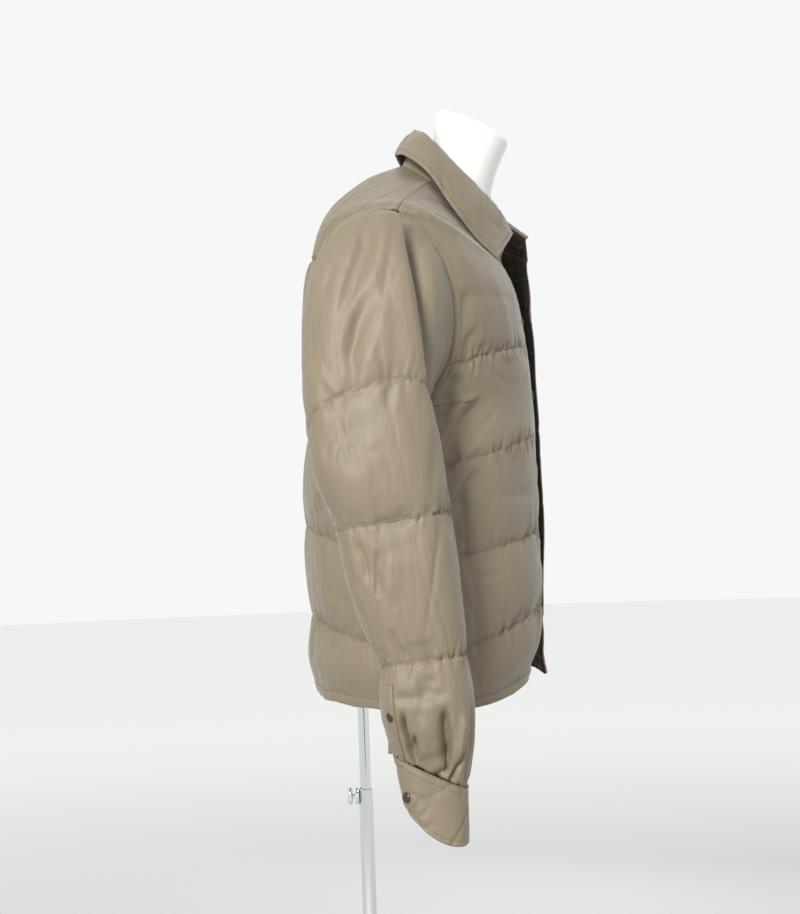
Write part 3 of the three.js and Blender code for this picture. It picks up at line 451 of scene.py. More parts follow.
def wall_object(name, outer, inner, uv, materials, closed=False):
    """A closed wall between two grids; its inner side takes the second material."""
    rows, columns = outer.shape[:2]
    count = rows * columns
    flip = np.sum(normals_of(outer, closed) * (outer - inner)) < 0
    faces = [grid_faces(rows, columns, closed, 0, flip), grid_faces(rows, columns, closed, count, not flip)]
    sheet = len(faces[0])
    j = np.arange(columns if closed else columns - 1)
    k = (j + 1) % columns
    for i, turned in ((0, not flip), (rows - 1, flip)):
        start = i * columns
        faces.append(band_faces(start + j, start + k, count + start + k, count + start + j, turned))
    if not closed:
        low = np.arange(rows - 1) * columns
        high = low + columns
        for j, turned in ((0, flip), (columns - 1, not flip)):
            faces.append(band_faces(low + j, high + j, count + high + j, count + low + j, turned))
    faces = np.concatenate(faces)
    indices = np.zeros(len(faces), int)
    indices[sheet:2 * sheet] = len(materials) - 1
    vertices = np.concatenate([outer.reshape(-1, 3), inner.reshape(-1, 3)])
    obj = new_object(name, vertices, faces, materials, indices, np.concatenate([uv.reshape(-1, 2)] * 2))
    if closed:
        close_uvs(obj, uv)
    return obj


def close_uvs(obj, uv):
    """Where a tube's last column meets its first, the weave runs on past the last one."""
    rows, columns = uv.shape[:2]
    corner = corner_points(obj.data)
    column = corner % columns
    quads = column.reshape(-1, 4)
    meeting = np.repeat((quads == 0).any(1) & (quads == columns - 1).any(1), 4) & (column == 0)
    row = corner[meeting] % (rows * columns) // columns
    layer = obj.data.uv_layers[0].data
    values = np.zeros(2 * len(corner), np.float32)
    layer.foreach_get("uv", values)
    values.reshape(-1, 2)[meeting, 0] = (2 * uv[row, -1, 0] - uv[row, -2, 0]) * MM
    layer.foreach_set("uv", values)


def shell(node, outer, inner, uv, materials, closed=False):
    """A cloth wall in a node's place."""
    obj = wall_object(node + "_shell", outer, inner, uv, materials, closed)
    stand_in(node)
    return obj


def cloth_map(runs, down):
    """The cloth's own flat map: how far along and how far down each point lies."""
    return np.stack(np.broadcast_arrays(runs, down), -1)


def inward(relief, wall, deepest):
    """How far the inner side lies in: a plain wall, pushed in where a fold sinks."""
    return wall - np.maximum(np.minimum(relief, 0), -deepest)


def rim_round(distance, wall):
    """How far each side of a wall draws in towards its middle near a free edge."""
    share = np.clip(1 - distance / (wall * 0.62), 0, 1)
    return wall / 2 * (1 - np.sqrt(np.maximum(0, 1 - share ** 2)))


def wall_sides(points, shift, seam, way, relief, rim, wall, deepest):
    """The outer and inner side of a wall, which opens in a vee at its seam and is round at its rim."""
    vee = 1 + SEAM_VEE * bell(seam, 0.8)[..., None]
    outer = points + shift * vee + way * (relief - rim)[..., None]
    inner = points + shift - way * (inward(relief, wall, deepest) - rim)[..., None]
    return outer, inner


# ---------- materials ----------
def linear(*rgb):
    """An sRGB colour of 0 to 255 as linear light."""
    shares = [c / 255 for c in rgb]
    return tuple(s / 12.92 if s <= 0.04045 else ((s + 0.055) / 1.055) ** 2.4 for s in shares)


class Shader:
    """A Principled material, with short calls for the nodes that feed it."""

    def __init__(self, name, color, roughness, **constants):
        self.material = bpy.data.materials.new(name)
        self.material.use_nodes = True
        self.tree = self.material.node_tree
        self.sockets = self.tree.nodes["Principled BSDF"].inputs
        self.feed(Base_Color=(*color, 1), Roughness=roughness, **constants)

    def join(self, value, socket):
        """Another node's output is linked, and anything else is a constant."""
        if hasattr(value, "links"):
            self.tree.links.new(value, socket)
        else:
            socket.default_value = value

    def feed(self, **values):
        for key, value in values.items():
            self.join(value, self.sockets[key.replace("_", " ")])

    def add(self, kind, **values):
        node = self.tree.nodes.new("ShaderNode" + kind)
        for key, value in values.items():
            self.join(value, node.inputs[key])
        return node

    def maths(self, operation, *values):
        node = self.add("Math")
        node.operation = operation
        for value, socket in zip(values, node.inputs):
            self.join(value, socket)
        return node.outputs[0]

    def noise(self, vector, scale, detail=3.0, roughness=0.5):
        node = self.add("TexNoise", Scale=scale, Detail=detail, Roughness=roughness, Vector=vector)
        return node.outputs["Fac"]

    def mixed(self, factor, a, b):
        """A colour between two others."""
        node = self.add("Mix")
        node.data_type = "RGBA"
        self.join(factor, node.inputs["Factor"])
        for key, value in (("A", a), ("B", b)):
            socket = next(s for s in node.inputs if s.name == key and s.type == "RGBA")
            self.join(value if hasattr(value, "links") else (*value, 1), socket)
        return next(s for s in node.outputs if s.type == "RGBA")

    def bump(self, height, distance, strength):
        node = self.add("Bump", Distance=distance, Strength=strength, Height=height)
        self.feed(Normal=node.outputs["Normal"])

    def place(self):
        return self.add("TexCoord").outputs["Object"]

    def mapped(self, vector, **turns):
        return self.add("Mapping", Vector=vector, **turns).outputs["Vector"]

    def weave_map(self):
        """The cloth's own flat map, and its two coordinates."""
        uv = self.add("UVMap")
        uv.uv_map = "UVMap"
        split = self.add("SeparateXYZ", Vector=uv.outputs["UV"])
        return uv.outputs["UV"], split.outputs["X"], split.outputs["Y"]


def taffeta(name, tint, thread):
    """Close plain weave of fine polyester: faint slubs along both threads, soft satin light."""
    def shade(share):
        return linear(*(c * share for c in tint))
    cloth = Shader(name, linear(*tint), 0.5, Sheen_Weight=0.1, Sheen_Roughness=0.4, Specular_IOR_Level=0.36)
    uv, *ways = cloth.weave_map()
    place = cloth.place()
    weave = cloth.maths("MULTIPLY", *(
        cloth.maths("SINE", cloth.maths("MULTIPLY", way, math.tau / thread)) for way in ways))
    slub = cloth.noise(cloth.mapped(uv, Scale=(1, 14, 1)), 90, 4)
    cloud = cloth.noise(place, 7)
    crumple = cloth.noise(place, 46, 4, 0.6)
    long_way = cloth.mapped(place, Rotation=(0.2, 0.2, 0), Scale=(1, 1, 0.24))
    crinkle = cloth.maths("ABSOLUTE", cloth.maths("SUBTRACT", cloth.noise(long_way, 75, 2), 0.5))
    base = cloth.mixed(cloud, shade(0.93), shade(1.05))
    cloth.feed(Base_Color=cloth.mixed(cloth.maths("MULTIPLY", slub, 0.22), base, shade(1.14)),
               Roughness=cloth.maths("MULTIPLY_ADD", slub, 0.16, 0.4))
    height = crumple
    for value, weight in ((slub, 0.12), (weave, 0.06), (crinkle, 4.4)):
        height = cloth.maths("MULTIPLY_ADD", value, weight, height)
    cloth.bump(height, 0.0005, 0.6)
    return cloth.material


CHECK_REPEAT = 0.042       # metres, as are the check's other measures
CHECK_BAND, CHECK_LINE, TWILL = 0.019, 0.0013, 0.0016


def check_flannel():
    """A plain woven check of dark brown and green, crossed by thin light lines."""
    cloth = Shader("check_flannel", linear(40, 31, 23), 0.92, Sheen_Weight=0.06, Sheen_Roughness=0.6,
                   Specular_IOR_Level=0.15)
    _, across, along = cloth.weave_map()

    def band(way, start, width):
        place = cloth.maths("FRACT", cloth.maths("MULTIPLY_ADD", way, 1 / CHECK_REPEAT, -start / CHECK_REPEAT))
        return cloth.maths("LESS_THAN", place, width / CHECK_REPEAT)
    twill = cloth.maths("SINE", cloth.maths("MULTIPLY", cloth.maths("ADD", across, along), math.tau / TWILL))
    shade = cloth.maths("MULTIPLY_ADD", twill, 0.06, 0.5)
    color = linear(46, 34, 26)
    for way, start, width, share, tint in (
            (across, 0.004, CHECK_BAND, shade, (22, 26, 18)), (along, 0.01, CHECK_BAND, shade, (18, 21, 16)),
            (across, 0.0125, CHECK_LINE, 0.3, (112, 94, 72)), (along, 0.0185, CHECK_LINE, 0.3, (112, 94, 72))):
        color = cloth.mixed(cloth.maths("MULTIPLY", band(way, start, width), share), color, linear(*tint))
    cloth.feed(Base_Color=color)
    nap = cloth.noise(cloth.place(), 900)
    cloth.bump(cloth.maths("MULTIPLY_ADD", twill, 0.25, nap), 0.0004, 0.6)
    return cloth.material


def form_skin():
    skin = Shader("form_jersey", linear(236, 236, 234), 0.62, Sheen_Weight=0.15)
    place = skin.place()
    cloud = skin.noise(place, 9, 2)
    skin.feed(Base_Color=skin.mixed(cloud, linear(214, 215, 212), linear(222, 223, 220)))
    skin.bump(skin.noise(place, 700), 0.0002, 0.35)
    return skin.material


def chrome():
    metal = Shader("chrome", linear(222, 226, 222), 0.12, Metallic=1.0)
    scratch = metal.noise(metal.mapped(metal.place(), Scale=(60, 60, 4)), 6, 5, 0.65)
    metal.feed(Roughness=metal.maths("MULTIPLY_ADD", scratch, 0.16, 0.04))
    return metal.material


def snap_metal():
    metal = Shader("snap_metal", linear(60, 54, 48), 0.38, Metallic=0.85)
    grain = metal.noise(metal.place(), 500)
    metal.feed(Base_Color=metal.mixed(grain, linear(56, 50, 44), linear(98, 88, 76)))
    return metal.material


CLOTH = taffeta("taffeta", (116, 105, 87), 0.00042)
CHECK = check_flannel()
THREAD = taffeta("thread", (101, 91, 77), 0.0009)
FORM_WHITE = form_skin()
CHROME = chrome()
SNAP = snap_metal()


# ---------- sewing ----------
def grid_at(grid, i, j, closed=False):
    """Points of a grid at fractional rows and columns."""
    rows, columns = grid.shape[:2]
    i0 = np.clip(np.floor(i).astype(int), 0, rows - 2)
    j0 = np.floor(j).astype(int)
    j0 = j0 % columns if closed else np.clip(j0, 0, columns - 2)
    j1 = (j0 + 1) % columns
    fi, fj = (i - i0)[..., None], (j - np.floor(j))[..., None] if closed else (j - j0)[..., None]
    return mix(mix(grid[i0, j0], grid[i0, j1], fj), mix(grid[i0 + 1, j0], grid[i0 + 1, j1], fj), fi)


def on_skin(piece, i, j, closed=False):
    """Points of a piece's outer side, and its normals there, at fractional rows and columns."""
    i = np.broadcast_to(np.asarray(i, float), np.shape(j))
    return grid_at(piece["outer"], i, j, closed), grid_at(piece["normals"], i, j, closed)


def stitch_row(path, normals):
    """Points and faces of a row of stitches along a path on the cloth."""
    pitch, length, radius, sink = STITCH.values()
    run = np.concatenate([[0], np.cumsum(np.linalg.norm(np.diff(path, axis=0), axis=1))])
    count = int((run[-1] - length) // pitch) + 1
    if count < 1:
        return np.zeros((0, 3)), []

    def at(place, values):
        return np.stack([np.interp(place, run, values[:, k]) for k in range(3)], -1)
    starts = np.arange(count) * pitch + (run[-1] - (count - 1) * pitch - length) / 2
    a, b = at(starts, path), at(starts + length, path)
    up = unit(at(starts + length / 2, normals))
    side = unit(np.cross(unit(b - a), up))
    arch = radius * 0.6
    vertices = []
    for share, grow, lift in ((0.0, 0.3, -sink), (0.22, 1.0, arch), (0.78, 1.0, arch), (1.0, 0.3, -sink)):
        centre = mix(a, b, share) + up * lift
        vertices += [centre + side * (radius * grow * c) + up * (radius * grow * s)
                     for c, s in ((1, 0), (0, 1), (-1, 0), (0, -1))]
    quads = np.concatenate([grid_faces(4, 4, True), [(3, 2, 1, 0), (12, 13, 14, 15)]])
    faces = quads[None] + 16 * np.arange(count)[:, None, None]
    return np.stack(vertices, 1).reshape(-1, 3), faces.reshape(-1, 4)


def sew(name, rows):
    """One object of several rows of stitches, each (path, normals)."""
    vertices, faces, start = [], [], 0
    for path, normals in rows:
        points, quads = stitch_row(path, normals)
        if len(points):
            vertices.append(points)
            faces.append(np.asarray(quads) + start)
            start += len(points)
    points = np.concatenate(vertices)
    obj = new_object(name, points, np.concatenate(faces), [THREAD], uvs=points[:, [1, 2]])
    return obj


def declare(piece):
    """Measures a made piece's plain surface, the sheet of cloth before it was filled and gathered; nothing is
    done with the sizes.
    """
    grid = piece["base"]
    if piece.get("closed"):
        grid = np.concatenate([grid, grid[:, :1]], 1)
    width, length = run_lengths(grid)[:, -1].max(), drop_lengths(grid)[-1].max()


# ---------- front and back panels ----------
def panel_grid(front_panel, side, columns):
    """A half panel's base points, from the centre or free edge to the seam, with what is known of each row."""
    part, which = ("Front", 0) if front_panel else ("Back", 1)
    low = station_of("hem") + spans(STATIONS[ARMPIT], start_rim=True)[:-1] * STATIONS[ARMPIT]
    marks = BODY[ARMPIT:SHOULDER + 1]
    station_at = steady_curve([-row["angle"][which] for row in marks], STATIONS[ARMPIT:SHOULDER + 1])
    last = BODY[SHOULDER]["angle"][which]
    angles = np.linspace(180, last, 1 + round((180 - last) / TURN_STEP))
    rest = STATIONS[NECKLINE] - STATIONS[SHOULDER]
    stations = np.concatenate([low, station_at(-angles), STATIONS[SHOULDER] + spans(rest)[1:] * rest])
    count = len(stations)
    armhole = slice(len(low), len(low) + len(angles))
    section = {key: value[:, None] for key, value in body_section(stations).items()}
    turn = np.full(count, 90.0)
    ends = section_point(section, turn[:, None], side)[:, 0]
    through = np.tile(np.array([side, 0.0, 0.0]), (count, 1))
    through[armhole.stop:] = unit(np.array(SHOULDER_WAY) * (side, 1, 1))
    shift = np.tile(np.array([0, (-1 if front_panel else 1) * SEAM_GAP / 2, 0]), (count, 1))
    around = angles if front_panel else -angles
    ends[armhole] = armhole_point(around, side)
    through[armhole], across_seam = armhole_frame(around, side)
    shift[armhole] = -across_seam * SEAM_GAP / 2
    y_end, y_side, curve = (section[key][armhole, 0] for key in ("y" + part, "ySide", "curve" + part))
    share = np.clip((ends[armhole, 1] - y_side) / (y_end - y_side), 0, 1)
    turn[armhole] = np.degrees(np.arccos(share ** (curve / 2)))
    if front_panel:
        start = np.degrees(np.arcsin((FRONT_EDGE[side] / section["half"]) ** (section["curveFront"] / 2)))
    else:
        turn = 180 - turn
        start = np.full((count, 1), 180.0)
    miss = ends - section_point(section, turn[:, None], side)[:, 0]
    turns = mix(start, turn[:, None], columns[None])
    points = section_point(section, turns, side) + miss[:, None] * (columns[None] ** 2)[..., None]
    if front_panel:
        points = draw_edge(points, section, side)
    return {"points": points, "through": through, "shift": shift, "stations": stations,
            "quilt": section["quilt"][:, 0], "armhole": armhole}


PUCKER_REACH = 60          # no gather is longer than this
GROOVE = 1.1               # how deep the stitches of a quilting line draw the cloth in


def fullness(quilt, last_line):
    """How full the filling stands between two quilting lines; above the last one it is a soft even layer."""
    share = quilt - np.floor(quilt + 1e-6)
    filled = BODY_PUFF * np.sin(np.pi * np.clip(share, 0, 1)) ** 0.65
    chest = CHEST_PUFF * smooth((quilt - last_line) / 0.3) * smooth((6 - quilt) / 0.4)
    return np.where(quilt >= last_line, chest, np.where(share < 1e-3, 0, filled))


def quilt_relief(runs, stations, lines, seed):
    """Puckers and a stitched-in groove along the quilting lines of a panel."""
    relief = np.zeros(runs.shape)
    for k, name in enumerate(lines):
        across = (stations - station_of(name))[:, None] + 0 * runs
        near = np.abs(across) < PUCKER_REACH
        pucker = (puckers(runs, across, seed + 31 * k, spacing=7.2, reach=9.0, height=3.5)
                  + puckers(runs, across, seed + 31 * k + 400, spacing=25.0, reach=21.6, height=2.625))
        relief += np.where(near, pucker - GROOVE * cusp(across, 2.6), 0)
    return relief


def soft_noise(points, seed):
    """Slow uneven swells of worn cloth, with shallow creases that wander up and down it, denser in patches."""
    a = points[..., 1] + points[..., 0] * 0.6
    z = points[..., 2]
    swell = noise(a / 55, z / 80, seed, 2)
    drift = 9 * noise(a / 90, z / 110, seed + 2)
    wander = noise((a + drift) / 30, z / 170, seed + 5, 2)
    cross = noise((a + 0.45 * z) / 34, (z - 0.5 * a) / 190, seed + 8, 2)
    fine = noise((a + 0.5 * drift - 0.16 * z) / 13, z / 75, seed + 11, 2)
    patch = smooth(0.5 + 0.8 * noise(a / 60, z / 55, seed + 14))
    return (1.6 * swell + 1.3 * valleys(wander, 0.07) + 0.9 * valleys(cross, 0.06) * patch
            + 0.7 * wander + (0.8 * valleys(fine, 0.12) + 0.35 * fine) * (1.15 - patch))


def panel_skins(panel, last_line, lines, creases, seed, start_seam=None, free_band=None):
    """Outer and inner side of a panel. It starts at a seam, or at a free edge with a flat band beside it."""
    points, stations = panel["points"], panel["stations"][:, None]
    outward = (0, 1 if start_seam else -1, 0)
    normals = facing(normals_of(points), len(points) // 3, points.shape[1] // 2, outward)
    runs = run_lengths(points)
    to_end = runs[:, -1:] - runs
    near_end = (1 - smooth(to_end / SEAM_TURN))[..., None]
    way = unit(mix(normals, panel["through"][:, None], near_end))
    shift = panel["shift"][:, None] * near_end ** 4
    edge, from_start = to_end, runs - (free_band or 0)
    if start_seam:
        near_start = (1 - smooth(runs / SEAM_TURN))[..., None]
        way = unit(mix(way, start_seam["through"][:, None], near_start))
        shift = shift + start_seam["shift"][:, None] * near_start ** 4
        edge = np.minimum(to_end, runs)
    quilt = panel["quilt"][:, None]
    window = smooth(from_start / PUFF_RAMP) * smooth(to_end / PUFF_RAMP)
    uneven = 1 + 0.12 * noise(runs / 55, quilt * 1.7 + 0 * runs, seed + 3)
    relief = fullness(quilt, last_line) * window * uneven
    sewn = smooth((from_start - 2) / 14) * smooth(edge / 16)
    relief += quilt_relief(runs, panel["stations"], lines, seed) * sewn
    relief += (creased(points, normals, creases) + soft_noise(points, seed)) * smooth(edge / 22)
    relief -= 1.5 * bell(edge, 1.5)
    # The hem: a wavy edge and a line of stitches.
    from_hem = stations - station_of("hem_stitch") + 0 * runs
    wavy = (1 - smooth(stations / 40)) * smooth(edge / 14)
    points[..., 2] += wavy * 1.1 * noise(runs / 31, 0 * runs, seed + 61, 2)
    relief += wavy * 1.3 * noise(runs / 34, 0 * runs, seed + 62, 2)
    relief += puckers(runs, from_hem, seed + 77, spacing=8.0, reach=6.0, height=1.3) * smooth(edge / 16)
    relief -= 0.5 * bell(from_hem, 1.6)
    rim = rim_round(stations + 0 * runs, WALL)
    if free_band:
        relief -= 0.7 * cusp(from_start, 1.8)
        gathers = puckers(stations + 0 * runs, from_start, seed + 91, spacing=9.0, reach=6.0, height=0.9)
        relief += gathers * smooth((runs - 4) / 8)
        rim = np.maximum(rim, rim_round(runs, WALL))
    # Nothing sinks so far that the inner side meets the form.
    on_form = smooth((stations - station_of("shoulder") + 40) / 40)
    relief = np.maximum(relief, -mix(mix(6.8, 5.0, smooth(edge / 70)), 0.7, on_form))
    outer, inner = wall_sides(points, shift, edge, way, relief, rim, WALL, deepest=9.0)
    return {"outer": outer, "inner": inner, "normals": way, "runs": runs, "stations": panel["stations"],
            "uv": cloth_map(runs, drop_lengths(points)[:, points.shape[1] // 2:][:, :1]),
            "armhole": panel["armhole"]}


FRONT_LINES = ("line_1", "line_2", "line_3", "line_4")
BACK_LINES = FRONT_LINES + ("line_5",)

# The armhole's drag folds, the folds that run down the front and those at the quilting lines, seen on the
# wearer's right; the left front has its own like them.
FRONT_FOLDS = [
    ([(-124, 1311), (-120, 1289), (-113, 1263)], -3.5, 5, 6),
    ([(-132, 1272), (-123, 1252), (-115, 1236)], -3, 4, 6),
    ([(-114, 1226), (-106, 1206), (-97, 1186)], -6, 9, 7),
    ([(-130, 1206), (-110, 1190), (-92, 1174)], 4.5, 4, 6),
    ([(-136, 1201), (-117, 1176), (-100, 1148), (-92, 1120)], -8, 5, 15),
    ([(-152, 1187), (-135, 1168), (-118, 1149)], -1.8, 2.5, 3.5),
    ([(-136, 1156), (-114, 1135), (-97, 1121)], 2.8, 3, 4),
    ([(-132, 1128), (-115, 1108), (-100, 1084)], -5, 3, 10),
    ([(-118, 1100), (-104, 1070), (-96, 1034)], -4, 5, 12),
    ([(-130, 1310), (-137, 1279), (-140, 1248)], 1.3, 4, 3),
    ([(-146, 1338), (-161, 1298), (-171, 1251), (-176, 1223)], 1.3, 5, 4),
    ([(-130, 1365), (-145, 1328), (-152, 1287)], -1, 7, 8),
    ([(-104, 1384), (-117, 1348), (-124, 1322)], 1.2, 6, 7),
    ([(-174, 983), (-164, 970), (-144, 946)], -1.4, 3, 4),
    ([(-111, 1025), (-129, 1013), (-152, 1017)], -2, 3, 5),
    ([(-178, 928), (-167, 914), (-147, 892)], -1.2, 6, 6),
    ([(-160, 1071), (-150, 1030), (-152, 988)], -1, 9, 8),
    ([(-155, 1154), (-152, 1113), (-153, 1076)], -0.9, 5, 5),
    ([(-179, 1195), (-176, 1153), (-178, 1111)], 0.9, 6, 5),
    ([(-164, 957), (-157, 937), (-153, 920)], -0.9, 4, 4),
]
LEFT_FOLDS = [
    ([(-120, 1318), (-118, 1294), (-110, 1268)], -3.2, 6, 5),
    ([(-112, 1222), (-104, 1204), (-95, 1184)], -4, 8, 8),
    ([(-128, 1200), (-110, 1184), (-93, 1172)], 3, 6, 5),
    ([(-134, 1190), (-118, 1170), (-101, 1146)], -4, 12, 6),
    ([(-150, 1180), (-132, 1160), (-114, 1143)], -1.5, 3.5, 2.5),
    ([(-134, 1122), (-117, 1104), (-98, 1086)], -2.6, 7, 3),
    ([(-148, 1330), (-160, 1292), (-170, 1246)], 1.2, 4, 5),
    ([(-128, 1360), (-143, 1322), (-150, 1284)], -1, 8, 7),
    ([(-172, 988), (-160, 972), (-142, 950)], -1.3, 4, 3),
    ([(-108, 1030), (-127, 1018), (-150, 1022)], -1.8, 5, 3),
    ([(-158, 1066), (-151, 1026), (-149, 992)], -1, 8, 9),
    ([(-176, 1190), (-178, 1150), (-175, 1112)], 0.9, 5, 6),
]
FRONT_CREASES = {RIGHT: [("right", *row) for row in FRONT_FOLDS], LEFT: [("left", *row) for row in LEFT_FOLDS]}
BACK_FOLDS = [
    ([(-128, 1262), (-104, 1214), (-78, 1172), (-66, 1130)], -3.2, 10, 14),
    ([(-140, 1240), (-122, 1196), (-108, 1150)], 2.2, 12, 9),
    ([(131, 1268), (108, 1216), (84, 1168), (60, 1140)], -3, 14, 10),
    ([(142, 1236), (126, 1190), (110, 1156)], 2, 9, 12),
    ([(-96, 1350), (-40, 1330), (20, 1336)], -1.4, 9, 12),
    ([(30, 1322), (74, 1340), (112, 1356)], -1.3, 12, 9),
    ([(-150, 1120), (-118, 1082), (-70, 1066)], -1.7, 7, 9),
    ([(146, 1112), (112, 1080), (72, 1072)], -1.6, 9, 7),
    ([(-60, 1040), (-48, 1010), (-52, 980)], -1.4, 8, 8),
    ([(54, 1046), (60, 1012), (48, 984)], -1.3, 8, 8),
    ([(0, 1250), (8, 1210), (-4, 1168)], -1, 10, 10),
    ([(-110, 960), (-84, 936), (-50, 928)], -1.2, 6, 8),
    ([(104, 958), (90, 934), (58, 926)], -1.2, 8, 6),
]
BACK_SIDE_FOLDS = [
    ([(29, 1008), (15, 997), (3, 988)], -1.6, 4, 6),
    ([(39, 900), (16, 895), (-2, 900)], -1.3, 3, 4),
    ([(12, 993), (18, 967), (6, 951)], -1.2, 6, 6),
    ([(37, 1093), (25, 1077), (21, 1056)], -1.3, 6, 8),
    ([(30, 1180), (12, 1150), (-10, 1128)], -2.4, 7, 9),
]
BACK_CREASES = ([("back", *row) for row in BACK_FOLDS]
                + [(view, *row) for view in ("right", "left") for row in BACK_SIDE_FOLDS])


def join_halves(right, left):
    """One panel from a right and a left half that share their centre."""
    return {**left, "points": np.concatenate([right["points"][:, ::-1], left["points"][:, 1:]], 1)}


def row_path(skins, name, first):
    """A path across a panel along a named station, from a distance off its start to its end."""
    i = np.interp(station_of(name), skins["stations"], np.arange(len(skins["stations"])))
    columns = skins["outer"].shape[1]
    run = grid_at(skins["runs"][..., None], np.full(columns, i), np.arange(columns, dtype=float))[:, 0]
    last = run[-1] - 1.5
    places = np.linspace(first, last, max(8, int((last - first) / 2)))
    return on_skin(skins, i, np.interp(places, run, np.arange(columns)))


def edge_path(skins, distance, rows, from_end=False):
    """A path up a panel at a distance from its free edge, or from its seam."""
    columns = []
    for run in skins["runs"][rows]:
        columns.append(np.interp(run[-1] - distance if from_end else distance, run, np.arange(len(run))))
    return on_skin(skins, np.arange(len(skins["runs"]))[rows], columns)


def make_panel(node, skins, paths):
    """A panel's shell and stitches from its sides and the paths that are sewn."""
    obj = shell(node, skins["outer"], skins["inner"], skins["uv"], [CLOTH, CHECK])
    return {**skins, "obj": obj, "stitches": sew(f"{node}_stitches", paths)}


def make_fronts():
    made = {}
    for label, side in SIDES.items():
        columns = spans(270, start_rim=True, end_rim=True)
        panel = panel_grid(True, side, columns)
        skins = panel_skins(panel, 4, FRONT_LINES, FRONT_CREASES[side], 11 + side, free_band=PLACKET)
        paths = [row_path(skins, name, PLACKET + 2) for name in FRONT_LINES]
        paths += [row_path(skins, "hem_stitch", 2), edge_path(skins, PLACKET, slice(6, -1))]
        paths += [edge_path(skins, distance, skins["armhole"], True) for distance in SEAM_STITCHES]
        made[side] = make_panel(f"{label}_front", skins, paths) | {"columns": columns, "base": panel["points"]}
    return made


def make_back():
    half = spans(230, end_rim=True)
    right, left = (panel_grid(False, side, half) for side in (RIGHT, LEFT))
    panel = join_halves(right, left)
    skins = panel_skins(panel, 5, BACK_LINES, BACK_CREASES, 23, start_seam=right)
    paths = [row_path(skins, name, 2) for name in (*BACK_LINES, "hem_stitch")]
    paths += [edge_path(skins, distance, skins["armhole"], from_end)
              for distance in SEAM_STITCHES for from_end in (False, True)]
    return {**make_panel("back", skins, paths), "base": panel["points"]}


# ---------- sleeves ----------
sleeve_ring = table_curve(SLEEVE, {
    "innerX": ("inner", 0), "innerZ": ("inner", 1), "outerX": ("outer", 0), "outerZ": ("outer", 1),
    **{name: (name,) for name in SLEEVE_COLUMNS[2:]},
}, np.arange(len(SLEEVE)))
TURN_STEP = 2.25           # degrees between the points round a sleeve and its armhole
SLEEVE_TURNS = np.arange(0, 360, TURN_STEP)


def ring_point(ring, angle, side):
    """Points of sleeve rings: angle 0 is the outside, 90 the front, 180 the underside and 270 the back."""
    c, s = np.cos(np.radians(angle)), np.sin(np.radians(angle))
    out, forward = power(c, 2 / ring["curve"]), power(s, 2 / ring["curve"])
    x = side * (mix(ring["innerX"], ring["outerX"], 0.5) + out * (ring["outerX"] - ring["innerX"]) / 2)
    y = mix(ring["back"], ring["front"], 0.5) + forward * (ring["front"] - ring["back"]) / 2
    z = (mix(ring["innerZ"], ring["outerZ"], 0.5) + out * (ring["outerZ"] - ring["innerZ"]) / 2
         + forward * ring["rise"] / 2)
    return np.stack(np.broadcast_arrays(x, y, z), -1)


def sleeve_places():
    """Places down the sleeve, one pitch apart, with closer ones beside the armhole's seam."""
    places = [0.0, 0.02, 0.06]
    for k, (a, b) in enumerate(zip(SLEEVE[:-1], SLEEVE[1:])):
        length = max(math.dist(a["inner"], b["inner"]), math.dist(a["outer"], b["outer"]))
        count = max(3, round(length / PITCH))
        places += list(k + np.arange(1, count + 1) / count)
    return np.array(places)


